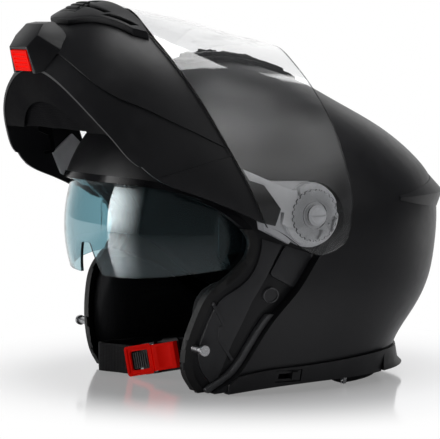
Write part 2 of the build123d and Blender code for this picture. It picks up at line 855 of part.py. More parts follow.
def make_latch_pin():
    """Pin on the chin bar's inner wall, with a head and a spacer that keep the hook in its plane."""
    low, high = claw_low - seat_gap, claw_low + claw_wall + seat_gap
    shank = bar(claw_pin_radius, low, shell_width, claw_pin_place, claw_pin_height)
    head = bar(claw_spacer_radius, low - claw_pin_radius / 2, low, claw_pin_place, claw_pin_height)
    spacer = bar(claw_spacer_radius, high, shell_width, claw_pin_place, claw_pin_height)
    return raised((shank + head + spacer) & shield_form(chin_wall + seat_gap))


# Visor


def visor_block():
    runs = [spots(VISOR_LOWER_SHARES), spots(VISOR_PLATE_SHARES), spots(VISOR_UPPER_SHARES)]
    return side_block(runs)


def make_visor():
    """Clear shield with both side plates, bored for the hubs."""
    lens = (visor_block() & shield_form(-visor_gap - visor_wall)) - shield_form(-visor_gap)
    lens = raised(lens)
    return lens - bar(hub_radius + running_gap, -shell_width, shell_width, hinge_place, hinge_height)


gear_radius = 19.0
gear_bore = 10.0
gear_low_gap = 2.5


def make_visor_gear():
    """Toothed ring on the inside of the visor's side plate."""
    low = plate_high + gear_low_gap
    high = half_width * SHIELD_SHARES[7][4] + visor_gap - gear_top_drop
    ring_body = bar(gear_radius, low, high, hinge_place, hinge_height)
    ring_body = ring_body - bar(gear_bore, low - 1, high + 1, hinge_place, hinge_height)
    for tooth in range(gear_teeth):
        angle = 2 * math.pi * tooth / gear_teeth
        y = hinge_place + gear_radius * math.cos(angle)
        z = hinge_height + gear_radius * math.sin(angle)
        ring_body = ring_body - bar(gear_tooth_radius, low - 1, high + 1, y, z)
    return ring_body


gear_teeth = 24
gear_tooth_radius = 1.2
gear_top_drop = 1.9


# Sun visor


def sun_reach(x, cut):
    """Distance of the sun visor's surface from its axis at a place across the helmet."""
    half, reach = sun_half_width - cut, sun_radius - cut
    return reach * (1 - (abs(x) / half) ** sun_squareness) ** (1 / sun_squareness)


def sun_face(low_cut, high_cut, edge, start_angle):
    """Band between two surfaces of the sun visor as a face through its axis."""
    outer, inner = [], []
    for step in range(sun_steps * 2 + 1):
        x = edge * (step / sun_steps - 1)
        outer.append((x, sun_reach(x, low_cut)))
        inner.append((x, sun_reach(x, high_cut)))
    angle = math.radians(start_angle)

    def place(x, reach):
        return (x, sun_place - reach * math.cos(angle), sun_height + reach * math.sin(angle))

    top = Spline(*[place(*point) for point in outer])
    low = Spline(*[place(*point) for point in inner])
    return make_face([top, low, Line(place(*outer[0]), place(*inner[0])), Line(place(*outer[-1]), place(*inner[-1]))])


sun_steps = 8
sun_edge = 94.5
sun_low_angle = -36.0
sun_high_angle = 22.0
tab_wall = 2.4
tab_radius = 9.0
sun_pin_radius = 3.0


def sun_sweep(low_cut, high_cut, edge, low_angle, high_angle):
    face = sun_face(low_cut, high_cut, edge, low_angle)
    axis = Axis((0, sun_place, sun_height), (-1, 0, 0))
    return revolve(face, axis, high_angle - low_angle)


def sun_lane():
    """Room for the sun visor over its whole travel."""
    return sun_sweep(-seat_gap * 2, sun_wall + seat_gap, sun_edge + seat_gap, sun_low_angle, relief_high_angle)


SUN_LOWER = [(-160, 81.5), (-140, 83.5), (-100, 89.0), (-72, 93.2), (-55, 97), (-38, 106)]
NOSE_CUT = [(-24, 70), (-6.5, 107.5), (6.5, 107.5), (24, 70)]
nose_corner = 3.0


def make_sun_visor():
    """Tinted inner lens with a nose cut and a flat tab on each pivot pin."""
    lens = sun_sweep(0, sun_wall, sun_edge, sun_low_angle, sun_high_angle)
    keep = side_block([SUN_LOWER, [(SUN_LOWER[-1][0], far_above)], [(far_front, far_above)],
                       [(far_front, SUN_LOWER[0][1])]])
    lens = lens & keep
    points = [(x, far_front, z) for x, z in NOSE_CUT]
    outline = FilletPolyline(*points, radius=nose_corner, close=True)
    lens = lens - extrude(make_face(outline), amount=shell_length, dir=(0, 1, 0))
    reach = sun_reach(sun_edge, 0)
    for side in (-1, 1):
        outer = side * (sun_edge + seat_gap)
        inner = side * (sun_edge + seat_gap - tab_wall)
        low, high = min(outer, inner), max(outer, inner)
        disc = bar(tab_radius, low, high, sun_place, sun_height)
        arm = straight_block([
            (sun_place, sun_height - tab_radius), (sun_place, sun_height + tab_radius),
            (sun_place - reach * 0.93, sun_height + tab_radius * 1.6),
            (sun_place - reach * 0.93, sun_height - tab_radius * 1.6)], low, high)
        lens = lens + disc + arm
    return lens - bar(sun_pin_radius + running_gap, -shell_width, shell_width, sun_place, sun_height)


def make_sun_pin():
    """Post inside the shell that carries the sun visor's tab."""
    flange_low = sun_edge + seat_gap * 2
    post = bar(sun_pin_radius * 2, flange_low, shell_width, sun_place, sun_height)
    shank = bar(sun_pin_radius, sun_edge - tab_wall - seat_gap, shell_width, sun_place, sun_height)
    return (post + shank) & shell_form(step_depth + shell_wall + seat_gap)


# Liners and pads

LINER_LOWER = [(-100, 92), (-62, 90), (-40, 78), (-10, 52), (25, 34), (150, 32)]
pad_grow = 11.0
relief_reach = 34.0
relief_gap = 3.0
relief_low_angle = -50.0
relief_high_angle = 86.0


def above_line(places, lift):
    edge = [(y, z + lift) for y, z in places]
    return straight_block([(far_front, edge[0][1]), *edge, (far_rear, edge[-1][1]),
                           (far_rear, far_above), (far_front, far_above)])


def make_liner():
    """Impact liner under the shell, relieved at the front for the sun visor."""
    body = stepped(shell_wall + seat_gap) & above_line(LINER_LOWER, 0)
    body = body - shell_form(liner_depth) - opening_block(trim_reach + trim_wall)
    relief = sun_sweep(-relief_reach, sun_wall + relief_gap, sun_edge + seat_gap, relief_low_angle, relief_high_angle)
    body = body - relief
    body = body - tab_fans()
    return body - bar(sun_pin_radius * 2 + seat_gap, -shell_width, shell_width, sun_place, sun_height)


def tab_fans():
    """Room on both sides for the sun visor's tabs to swing."""
    fan_radius = sun_reach(sun_edge, 0) + relief_gap
    low, high = sun_edge - tab_wall - relief_gap / 2, sun_edge + relief_gap
    fan = bar(fan_radius, low, high, sun_place, sun_height)
    return fan + mirrored(fan)


def make_crown_pad():
    """Comfort cap inside the liner."""
    body = shell_form(liner_depth + seat_gap) & above_line(LINER_LOWER, 16)
    body = body - shell_form(liner_depth + seat_gap + crown_pad_wall)
    return body - opening_block(pad_grow) - tab_fans()


cheek_front = -98.0
cheek_rear = 22.0
cheek_low = 6.0
cheek_high = 84.0


def make_cheek_pad():
    """Cushion against the left jaw, crowned towards the face."""
    length, height = cheek_rear - cheek_front, cheek_high - cheek_low
    y, z = (cheek_rear + cheek_front) / 2, (cheek_high + cheek_low) / 2
    faces = []
    for x, shrink in ((62, 22), (66, 12), (74, 4), (86, 0), (125, 0)):
        plane = Plane(origin=(x, y, z), x_dir=(0, 1, 0), z_dir=(1, 0, 0))
        faces.append(plane * RectangleRounded(length - shrink * 2, height - shrink * 2, 18 - shrink * 0.4))
    pad = loft(faces)
    pad = pad & stepped(shell_wall + seat_gap)
    pad = pad - opening_block(trim_reach + 1)
    edge = spots(RIM_SHARES)
    pad = pad - above_line(LINER_LOWER, -seat_gap)
    return pad


NECK_LEVELS = [(0.0, 11.0, 25.0), (5.0, 8.0, 29.0), (16.0, 6.0, 31.0), (27.0, 8.0, 29.0), (30.0, 11.0, 25.0)]
neck_front = 26.0


def make_neck_roll():
    """Rolled cushion round the back of the neck, which the helmet stands on."""
    outer = stack([(z, out) for z, out, _ in NECK_LEVELS])
    inner = stack([(z, inn) for z, _, inn in NECK_LEVELS])
    body = outer - inner
    body = body & box((-shell_width, neck_front, 0), (shell_width, far_rear, far_above))
    return body & shell_form(shell_wall + seat_gap)


# Crown vent and rear lip

VENT_PLAN = [(-12, -62), (-22, -46), (-25, -8), (-19, 30), (-9, 34), (-7, 27), (7, 27), (9, 34), (19, 30), (25, -8), (22, -46), (12, -62)]
VENT_TOP_PLAN = [(-9, -56), (-17, -43), (-19, -8), (-14, 22), (14, 22), (19, -8), (17, -43), (9, -56)]
crown_vent_low = 3.0
crown_vent_high = 5.5


def plan_block(corners, low=0.0, high=far_above):
    points = [(x, y, low) for x, y in corners]
    return extrude(make_face(Polyline(*points, close=True)), amount=high - low, dir=(0, 0, 1))


crown_slider_half_width = 8.0
crown_slider_rear = -30.0
crown_slider_front = -46.0
crown_slider_travel = 4.0


def make_top_vent():
    lower = plan_block(VENT_PLAN, half_width) & shell_form(-crown_vent_low)
    upper = plan_block(VENT_TOP_PLAN, half_width) & shell_form(-crown_vent_high)
    body = (lower + upper) - shell_form(-seat_gap)
    floor = crown_slider_floor()
    pocket = box((-crown_slider_half_width - seat_gap, crown_slider_front - seat_gap, floor),
                 (crown_slider_half_width + seat_gap, crown_slider_rear + crown_slider_travel + seat_gap, far_above))
    return body - pocket


def crown_slider_floor():
    return SHELL_SHARES[-1][0] * shell_height + crown_vent_low


def make_top_vent_slider():
    floor = crown_slider_floor() + seat_gap
    plate = box((-crown_slider_half_width, crown_slider_front, floor),
                (crown_slider_half_width, crown_slider_rear, floor + crown_slider_wall))
    for rib in range(slider_ribs):
        y = crown_slider_front + (rib + 1) * (crown_slider_rear - crown_slider_front) / (slider_ribs + 1)
        plate = plate + box((-crown_slider_half_width * rib_span_share, y - rib_half, floor),
                            (crown_slider_half_width * rib_span_share, y + rib_half, floor + crown_slider_wall + rib_height))
    return plate


crown_slider_wall = 2.0

LIP_LEVELS = [(126.0, 1.0, 0.0), (141.0, -0.5, 10.0), (172.0, 1.0, 0.0)]
lip_front = 60.0


def make_rear_lip():
    """Spoiler lip that rises off the back of the shell."""
    levels = [(z, inset) for z, inset, _ in LIP_LEVELS]
    body = stack(levels, rear_extra=[extra for _, _, extra in LIP_LEVELS], ruled=True)
    body = body & box((-shell_width, lip_front, 0), (shell_width, far_rear, far_above))
    return body - shell_form(-seat_gap)


# Chin strap and buckle

strap_wall = 1.8
strap_width = 22.0
strap_low = 1.6
strap_turn = 24.7
strap_bend = 5.0
strap_side = 58.0
strap_back = 24.0
strap_end = 96.0
buckle_y = -83.0
buckle_z = 16.5
buckle_tilt = 12.0
frame_length = 26.0
frame_height = 23.0
frame_wall = 3.4
frame_bar = 4.2
buckle_corner = 2.5
plate_wall = 2.0
lever_reach = 23.0
lever_height_over = 20.0
lever_wall = 3.6
knuckle_radius = 2.1
lever_pin_radius = 1.2
ear_wall = 1.6
anchor_wall = 3.0
anchor_tall = 26.0


def in_buckle(shape):
    """From the buckle's own frame: length along X, thickness along Y, height along Z."""
    return Pos(0, buckle_y, buckle_z) * Rot(0, 0, strap_turn) * Rot(0, -buckle_tilt, 0) * shape


def plan_spot(along, back):
    """Plan place of a point along the buckle and behind its middle plane."""
    turn = math.radians(strap_turn)
    x = along * math.cos(turn) - back * math.sin(turn)
    y = buckle_y + along * math.sin(turn) + back * math.cos(turn)
    return (x, y)


def block(low, high, radius=0.0):
    """Box with the edges along Y rounded if a radius is given."""
    solid = box(low, high)
    if radius:
        solid = fillet(solid.edges().filter_by(Axis.Y), radius)
    return solid


def make_buckle_frame():
    half = frame_height / 2
    frame = block((-frame_length, -frame_wall, -half), (-seat_gap, 0, half), buckle_corner)
    inner = half - frame_bar
    window = block((frame_bar - frame_length, -overrun, -inner), (-frame_bar - seat_gap, overrun, inner), buckle_corner / 2)
    rim_low = -frame_wall * rim_deep_share
    dish_half = half - frame_bar / 2
    dish = block((frame_bar / 2 - frame_length, -overrun, -dish_half),
                 (-frame_bar / 2, rim_low, dish_half), buckle_corner / 2)
    return in_buckle(frame - window - dish)


rim_deep_share = 0.75


def make_buckle_plate():
    """Base plate behind the lever with an ear at each end of its pin."""
    half = lever_height_over / 2 + seat_gap + ear_wall
    low, high = seat_gap, seat_gap + plate_wall
    plate = block((-frame_length / 2, low, -half), (lever_reach + ear_wall, high, half), buckle_corner)
    plate = plate - block((-frame_length / 3, -overrun, -frame_bar), (-frame_bar, overrun, frame_bar))
    for side in (-1, 1):
        inner, outer = sorted((side * (half - ear_wall), side * half))
        ear = box((0, -knuckle_radius * 2, inner), (knuckle_radius * 2, high, outer))
        plate = plate + ear
    hole = Pos(knuckle_radius, -knuckle_radius, 0) * Cylinder(lever_pin_radius, frame_height * 2)
    return in_buckle(plate - hole)


def make_buckle_lever():
    half = lever_height_over / 2
    back = -seat_gap
    plate = block((knuckle_radius, -knuckle_radius * 2, -half), (lever_reach, back, half))
    plate = plate + Pos(knuckle_radius, -knuckle_radius, 0) * Cylinder(knuckle_radius - seat_gap / 2, half * 2)
    dip = Pos((lever_reach + knuckle_radius) / 2, -knuckle_radius * 2 - dip_radius + dip_depth, 0)
    plate = plate - dip * Cylinder(dip_radius, half * 2 * rib_span_share)
    hook = box((lever_reach - lever_wall, -knuckle_radius * 2 - dip_depth, -half),
               (lever_reach, -knuckle_radius, half))
    hole = Pos(knuckle_radius, -knuckle_radius, 0) * Cylinder(lever_pin_radius + running_gap, frame_height * 2)
    return in_buckle(plate + hook - hole)


dip_radius = 24.0
dip_depth = 1.0


def make_buckle_pin():
    half = lever_height_over / 2 + seat_gap + ear_wall
    return in_buckle(Pos(knuckle_radius, -knuckle_radius, 0) * Cylinder(lever_pin_radius, half * 2))


def strap_wall_along(corners, low, high):
    """Strap standing on edge along a plan path."""
    path = FilletPolyline(*[(x, y, low) for x, y in corners], radius=strap_bend)
    strip = trace(path, line_width=strap_wall)
    return extrude(strip, amount=high - low, dir=(0, 0, 1))


def make_strap_right():
    """Far strap: from its anchor forward inside the pad, round a bend and behind the frame."""
    back = seat_gap + strap_wall / 2
    corners = [
        (-strap_end, strap_back), (-strap_side, strap_back), (-strap_side, cheek_front + strap_bend),
        plan_spot(-frame_length * 2.2, back), plan_spot(-frame_length / 2 - strap_wall, back)]
    return strap_wall_along(corners, strap_low, strap_low + strap_width)


# Middle height of the near strap along Y
STRAP_RISE = [(-86, 16), (-70, 22.0), (-45, 27.0), (-10, 24.0), (30, 15.0)]


def make_strap_left():
    """Near strap: from behind the buckle's plate up and back to its anchor."""
    back = seat_gap * 2 + plate_wall + strap_wall / 2
    corners = [
        plan_spot(frame_bar, back), plan_spot(lever_reach + strap_bend * 2, back),
        (strap_side, -strap_side / 2), (strap_side, strap_back), (strap_end, strap_back)]
    wall = strap_wall_along(corners, -overrun, shell_width)
    upper = pushed(STRAP_RISE, strap_width / 2)
    lower = pushed(STRAP_RISE, -strap_width / 2)
    return wall & side_block([upper, lower[::-1]])


def make_strap_anchors():
    """Anchor block of each strap on the shell's inner wall."""
    anchors = []
    for side in (-1, 1):
        low, high = sorted((side * (strap_end + seat_gap), side * shell_width))
        anchor = box((low, strap_back - anchor_wall / 2, strap_low), (high, strap_back + anchor_wall / 2, anchor_tall))
        anchors.append(anchor & shell_form(shell_wall + seat_gap))
    return Compound(anchors)


# Nodes

def both(shape):
    return Compound([shape, mirrored(shape)])


def make_nodes():
    """Every piece by the name of its node."""
    nodes = {}
    nodes["outer_shell"] = make_outer_shell()
    nodes["brow_trim"], nodes["jaw_gasket"] = split_opening_trim()
    nodes["base_trim_left"], nodes["base_trim_right"], nodes["rear_trim"] = make_base_trims()
    nodes["lever_bezel"] = make_lever_bezel()
    nodes["sun_visor_lever"] = make_sun_visor_lever()
    for name, make in (
        ("jaw_panel", make_jaw_panel), ("side_cover", make_side_cover), ("step_strip", make_step_strip),
        ("pivot_base", make_hinge_base), ("hinge_plate", make_hinge_plate), ("visor_gear", make_visor_gear),
        ("cheek_pad", make_cheek_pad), ("latch_claw", make_latch_claw),
    ):
        shape = make()
        nodes[name + "_left"] = shape
        nodes[name + "_right"] = mirrored(shape)
    nodes["cheek_pad_left"] = nodes["cheek_pad_left"] - lever_pocket()
    nodes["jaw_plugs"] = both(make_plug())
    nodes["latch_studs"] = both(make_stud())
    nodes["pivot_screws"] = both(make_hinge_screw())
    nodes["sun_visor_pins"] = both(make_sun_pin())
    nodes["latch_pins"] = both(make_latch_pin())
    nodes["sun_visor"] = make_sun_visor()
    nodes["chin_bar_shell"] = make_chin_bar_shell()
    nodes["chin_bar_liner"] = make_chin_lining()
    nodes["chin_floor"] = make_chin_floor()
    nodes["chin_curtain"] = make_chin_curtain()
    nodes["chin_vent_frame"] = make_chin_vent()
    nodes["chin_vent_slider"] = make_chin_vent_slider()
    nodes["chin_beak"] = make_chin_beak()
    nodes["release_button"] = make_release_button()
    nodes["visor_lens"] = make_visor()
    nodes["eps_liner"] = make_liner()
    nodes["crown_pad"] = make_crown_pad()
    nodes["neck_roll"] = make_neck_roll()
    nodes["top_vent_base"] = make_top_vent()
    nodes["top_vent_slider"] = make_top_vent_slider()
    nodes["rear_spoiler"] = make_rear_lip()
    nodes["strap_left"] = make_strap_left()
    nodes["strap_right"] = make_strap_right()
    nodes["strap_anchors"] = make_strap_anchors()
    nodes["buckle_frame"] = make_buckle_frame()
    nodes["buckle_plate"] = make_buckle_plate()
    nodes["buckle_lever"] = make_buckle_lever()
    nodes["buckle_pin"] = make_buckle_pin()
    return nodes


os.makedirs("parts", exist_ok=True)
for node_name, node_shape in make_nodes().items():
    export_step(node_shape, f"parts/{node_name}.step")
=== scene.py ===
# %% [markdown]
# # A flip-up motorcycle helmet
# This notebook dresses a helmet whose hard parts come from a CAD model.
# Each step first says what the real piece is, then how it could be made, and why this way was chosen.
# Lengths are in metres: X runs to the wearer's left, -Y to the front and Z up from the ground.

# %% Frame: the CAD model and its record
import json
import math

import bpy
from mathutils import Matrix, Vector, noise


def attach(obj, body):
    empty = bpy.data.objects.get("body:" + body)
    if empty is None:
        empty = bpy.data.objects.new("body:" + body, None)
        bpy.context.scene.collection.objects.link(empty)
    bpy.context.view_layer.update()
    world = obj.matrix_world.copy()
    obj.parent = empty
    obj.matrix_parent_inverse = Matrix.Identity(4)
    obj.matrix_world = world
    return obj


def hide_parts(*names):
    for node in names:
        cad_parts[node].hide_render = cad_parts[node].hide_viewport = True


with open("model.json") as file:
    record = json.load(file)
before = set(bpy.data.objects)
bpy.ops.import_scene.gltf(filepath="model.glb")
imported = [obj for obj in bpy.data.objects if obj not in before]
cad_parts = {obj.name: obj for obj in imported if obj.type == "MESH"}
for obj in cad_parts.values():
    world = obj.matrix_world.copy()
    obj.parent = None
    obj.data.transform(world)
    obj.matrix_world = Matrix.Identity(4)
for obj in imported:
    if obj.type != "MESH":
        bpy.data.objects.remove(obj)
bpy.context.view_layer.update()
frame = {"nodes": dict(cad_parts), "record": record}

nodes = frame["nodes"]


# %% [markdown]
# ## Shader groups
# Moulded plastic, cloth and webbing differ in the size of their texture and in how they catch dust.
# Each effect that several finishes share is a node group with named sockets, so one change reaches them all.

# %% Node helpers
def add_node(tree, kind, inputs=None, **settings):
    """Node with its settings and its fixed inputs."""
    node = tree.nodes.new(kind)
    for label, value in settings.items():
        setattr(node, label, value)
    for label, value in (inputs or {}).items():
        node.inputs[label].default_value = value
    return node


def maths(tree, operation, *values):
    """Math node: each value is a number or an output socket."""
    node = add_node(tree, "ShaderNodeMath", operation=operation)
    for index, value in enumerate(values):
        if isinstance(value, (int, float)):
            node.inputs[index].default_value = value
        else:
            tree.links.new(value, node.inputs[index])
    return node.outputs[0]


def product(tree, first, *others):
    """Several values multiplied."""
    for value in others:
        first = maths(tree, "MULTIPLY", first, value)
    return first


def spread(tree, value, given, wanted=(0.0, 1.0)):
    """Map Range node with a smooth edge: the given range becomes the wanted one."""
    node = add_node(
        tree, "ShaderNodeMapRange",
        {"From Min": given[0], "From Max": given[1], "To Min": wanted[0], "To Max": wanted[1]},
        interpolation_type="SMOOTHSTEP")
    tree.links.new(value, node.inputs["Value"])
    return node.outputs["Result"]


def own_place(tree):
    """The piece's own coordinates."""
    return tree.nodes.new("ShaderNodeTexCoord").outputs["Object"]


def noise_of(tree, pattern, vector=None):
    """Noise texture: the pattern is its scale, detail and roughness."""
    scale, detail, rough = pattern
    node = add_node(tree, "ShaderNodeTexNoise", {"Detail": detail, "Roughness": rough})
    if isinstance(scale, (int, float)):
        node.inputs["Scale"].default_value = scale
    else:
        tree.links.new(scale, node.inputs["Scale"])
    tree.links.new(vector or own_place(tree), node.inputs["Vector"])
    return node.outputs["Fac"]


def new_group(name, inputs, outputs):
    """Empty node group with float sockets."""
    group = bpy.data.node_groups.new(name, "ShaderNodeTree")
    for label, value in inputs.items():
        socket = group.interface.new_socket(name=label, in_out="INPUT", socket_type="NodeSocketFloat")
        socket.default_value = value
    for label in outputs:
        group.interface.new_socket(name=label, in_out="OUTPUT", socket_type="NodeSocketFloat")
    return group, group.nodes.new("NodeGroupInput").outputs, group.nodes.new("NodeGroupOutput").inputs


# %% [markdown]
# Satin plastic has a very fine spark-eroded grain and a slow change of gloss where hands have polished it.
# Each noise below is given by its scale, its detail and its roughness.

# %% Moulded grain
hand_polish = (22.0, 4.0, 0.55)
flow_marks = (160.0, 3.0, 0.5)
spark_detail, spark_roughness = 2.0, 0.6
polish_share, flow_share = 0.7, 0.3
polish_edges = (0.35, 0.65)


def build_grain():
    """Height of the grain, gloss between two values, and a mask of the polished places."""
    group, given, result = new_group(
        "moulded grain",
        {"Grain Scale": 2600.0, "Gloss Low": 0.4, "Gloss High": 0.5},
        ["Height", "Gloss", "Tone"])
    fine = noise_of(group, (given["Grain Scale"], spark_detail, spark_roughness))
    slow = noise_of(group, hand_polish)
    medium = noise_of(group, flow_marks)
    mixed = maths(group, "ADD", product(group, slow, polish_share), product(group, medium, flow_share))
    polished = spread(group, mixed, polish_edges)
    span = maths(group, "SUBTRACT", given["Gloss High"], given["Gloss Low"])
    gloss = maths(group, "ADD", given["Gloss Low"], product(group, polished, span))
    group.links.new(fine, result["Height"])
    group.links.new(gloss, result["Gloss"])
    group.links.new(polished, result["Tone"])
    return group


grain_group = build_grain()
print("group", grain_group.name)


# %% [markdown]
# Edges of black plastic are painted a slightly paler grey, partly rubbed wear and partly a painted highlight
# where light catches their radius. Dust settles where the surface looks up.

# %% Edge wear, painted edge highlight and dust
edge_break = (140.0, 5.0, 0.6)
sharp_edges, break_edges, break_depth = (0.53, 0.62), (0.42, 0.62), (0.2, 1.0)
dust_patches = (60.0, 6.0, 0.65)
dust_specks = (1500.0, 2.0, 0.5)
upward_edges, patch_edges = (0.3, 1.0), (0.4, 0.75)
speck_edges, speck_depth = (0.6, 0.75), (0.3, 1.0)


def build_wear_and_highlight():
    """Mask of rubbed edges and painted edge highlights, broken up by noise."""
    group, given, result = new_group("edge wear", {"Amount": 0.5}, ["Mask"])
    geometry = group.nodes.new("ShaderNodeNewGeometry")
    edge = spread(group, geometry.outputs["Pointiness"], sharp_edges)
    broken = spread(group, noise_of(group, edge_break), break_edges, break_depth)
    group.links.new(product(group, edge, broken, given["Amount"]), result["Mask"])
    return group


def build_dust():
    """Mask of dust on what looks up, in patches and specks."""
    group, given, result = new_group("settled dust", {"Amount": 0.3}, ["Mask"])
    split = group.nodes.new("ShaderNodeSeparateXYZ")
    group.links.new(group.nodes.new("ShaderNodeNewGeometry").outputs["Normal"], split.inputs[0])
    upward = spread(group, split.outputs["Z"], upward_edges)
    patches = spread(group, noise_of(group, dust_patches), patch_edges)
    specks = spread(group, noise_of(group, dust_specks), speck_edges, speck_depth)
    group.links.new(product(group, upward, patches, specks, given["Amount"]), result["Mask"])
    return group


wear_and_highlight_group = build_wear_and_highlight()
dust_group = build_dust()
print("groups", wear_and_highlight_group.name, dust_group.name)


# %% [markdown]
# Knitted lining and woven webbing both read as rows of small bumps.
# The rows come from sine waves across the piece, along its three directions, so no picture is needed.
# The rows along Z lie a little closer, which keeps the three waves from falling together.

# %% Knit and weave
full_turn = 6.283
row_turns = {"X": 1.0, "Y": 1.0, "Z": 1.13}
third = 0.33
cloth_fuzz = (900.0, 4.0, 0.7)
row_share, fuzz_share = 0.6, 0.4


def build_knit():
    """Height of the rows, and a shade that mixes them with fuzz."""
    group, given, result = new_group("knit rows", {"Rows": 700.0, "Strength": 1.0}, ["Height", "Shade"])
    split = group.nodes.new("ShaderNodeSeparateXYZ")
    group.links.new(own_place(group), split.inputs[0])
    waves = []
    for axis, turns in row_turns.items():
        phase = product(group, split.outputs[axis], product(group, given["Rows"], turns * full_turn))
        waves.append(maths(group, "ABSOLUTE", maths(group, "SINE", phase)))
    total = maths(group, "ADD", maths(group, "ADD", waves[0], waves[1]), waves[2])
    height = product(group, total, third, given["Strength"])
    fuzz = noise_of(group, cloth_fuzz)
    shade = maths(group, "ADD", product(group, height, row_share), product(group, fuzz, fuzz_share))
    group.links.new(height, result["Height"])
    group.links.new(shade, result["Shade"])
    return group


knit_group = build_knit()
print("group", knit_group.name)


# %% [markdown]
# Every finish starts from the same few steps: a material, the groups placed in it, and colours mixed by masks.

# %% Steps that all finishes share
def place_group(tree, group, **values):
    """A group in a material, with its own values."""
    node = add_node(tree, "ShaderNodeGroup", node_tree=group)
    for label, value in values.items():
        node.inputs[label.replace("_", " ")].default_value = value
    return node.outputs


def socket_called(sockets, identifier):
    """Socket of a Mix node, which has several of one name."""
    return next(socket for socket in sockets if socket.identifier == identifier)


def mix_colour(tree, mask, first, second):
    """Colour between two, by a mask."""
    node = add_node(tree, "ShaderNodeMix", data_type="RGBA")
    for identifier, value in (("A_Color", first), ("B_Color", second)):
        socket = socket_called(node.inputs, identifier)
        if isinstance(value, tuple):
            socket.default_value = (*value, 1.0)
        else:
            tree.links.new(value, socket)
    tree.links.new(mask, socket_called(node.inputs, "Factor_Float"))
    return socket_called(node.outputs, "Result_Color")


def finish_base(name):
    """New material, with its node tree and its Principled shader."""
    material = bpy.data.materials.new(name)
    material.use_nodes = True
    tree = material.node_tree
    return material, tree, tree.nodes["Principled BSDF"]


def bumped(tree, shader, height, strength, distance):
    """Bump on a shader, from a height."""
    bump = add_node(tree, "ShaderNodeBump", {"Strength": strength, "Distance": distance})
    tree.links.new(height, bump.inputs["Height"])
    tree.links.new(bump.outputs["Normal"], shader.inputs["Normal"])


# %% [markdown]
# ## Finishes
# The shell is satin black: almost no colour, a soft wide highlight and a fine grain.
# The panels under it are a little paler, and the brow moulding is gloss black with a thin clear coat.
# One recipe reaches them all: grain, drifting gloss, paler edges of rubbed wear and painted highlight, and
# dust, each with its own amount.

# %% Moulded plastic
dust_colour = (0.16, 0.16, 0.165)
dust_roughness = 0.25
rub_and_highlight_gain = 1.6
grain_strength = 0.6
coat_roughness = 0.08


def moulded(name, colour, tint, gloss, wear_and_highlight, dust, grain=0.00002, scale=2600.0, specular=0.5, coat=0.0,
            rub_and_highlight=0.02, glow=0.0):
    """Moulded plastic: grain, drifting gloss, paler edges of wear and painted highlight, a little dust."""
    material, tree, shader = finish_base(name)
    surface = place_group(tree, grain_group, Grain_Scale=scale, Gloss_Low=gloss[0], Gloss_High=gloss[1])
    worn_and_lit = place_group(tree, wear_and_highlight_group, Amount=wear_and_highlight)["Mask"]
    dusty = place_group(tree, dust_group, Amount=dust)["Mask"]
    # The paler edge colour is partly rubbed wear and partly a painted highlight along the moulded radius.
    rubbed_and_lit = tuple(min(1.0, part * rub_and_highlight_gain + rub_and_highlight) for part in tint)
    base = mix_colour(tree, surface["Tone"], colour, tint)
    base = mix_colour(tree, worn_and_lit, base, rubbed_and_lit)
    tree.links.new(mix_colour(tree, dusty, base, dust_colour), shader.inputs["Base Color"])
    rough = maths(tree, "ADD", surface["Gloss"], product(tree, dusty, dust_roughness))
    tree.links.new(rough, shader.inputs["Roughness"])
    bumped(tree, shader, surface["Height"], grain_strength, grain)
    shader.inputs["Specular IOR Level"].default_value = specular
    shader.inputs["Coat Weight"].default_value = coat
    shader.inputs["Coat Roughness"].default_value = coat_roughness
    # Emission in the piece's own colour is painted light, since no moulding glows; most finishes have none.
    shader.inputs["Emission Color"].default_value = (*colour, 1.0)
    shader.inputs["Emission Strength"].default_value = glow
    return material


# %% [markdown]
# Most of the helmet is injection moulded in black or dark grey, and the mould decides how satin it comes out.
# Each moulding has two near shades and its own span of gloss, because one even black would look flat.

# %% Black and grey plastics
satin_black, satin_tint = (0.0075, 0.0075, 0.0086), (0.0095, 0.0095, 0.0108)
shell_black = moulded(
    "satin black shell", satin_black, satin_tint, (0.34, 0.42), specular=0.26, wear_and_highlight=0.2, dust=0.01)
chin_black = moulded(
    "satin black chin bar", satin_black, satin_tint, (0.36, 0.44), specular=0.28, wear_and_highlight=0.25, dust=0.01)
# The panels' strongly paler edges are mostly a painted highlight along their bevels, with a little wear.
panel_grey = moulded(
    "charcoal panels", (0.016, 0.0162, 0.0180), (0.022, 0.0222, 0.0245), (0.40, 0.50),
    grain=0.00004, specular=0.4, wear_and_highlight=1.0, rub_and_highlight=0.07, dust=0.03)
strip_grey = moulded(
    "grey step strip", (0.050, 0.051, 0.054), (0.062, 0.063, 0.066), (0.38, 0.46), wear_and_highlight=0.3, dust=0.05)
gloss_black = moulded(
    "gloss black brow", (0.004, 0.004, 0.005), (0.006, 0.006, 0.007), (0.12, 0.17),
    grain=0.000004, specular=0.15, coat=0.08, wear_and_highlight=0.1, dust=0.0)
trim_black = moulded(
    "matt black trim", (0.006, 0.006, 0.007), (0.009, 0.009, 0.010), (0.44, 0.56),
    grain=0.00005, scale=1800.0, specular=0.25, wear_and_highlight=0.4, dust=0.03)
# The chin bar's underside is matt black plastic, painted darker than the bar and with almost no reflection as
# shade inside the chin bar.
chin_underside_painted_shade = moulded(
    "matt black underside, painted shade", (0.003, 0.003, 0.0035), (0.005, 0.005, 0.006), (0.55, 0.7),
    grain=0.00004, specular=0.02, wear_and_highlight=0.0, dust=0.0)
hinge_plastic = moulded(
    "grey hinge plastic", (0.42, 0.425, 0.44), (0.50, 0.505, 0.52), (0.30, 0.40),
    grain=0.00003, wear_and_highlight=0.3, dust=0.05)
print("plastics", len(bpy.data.materials))
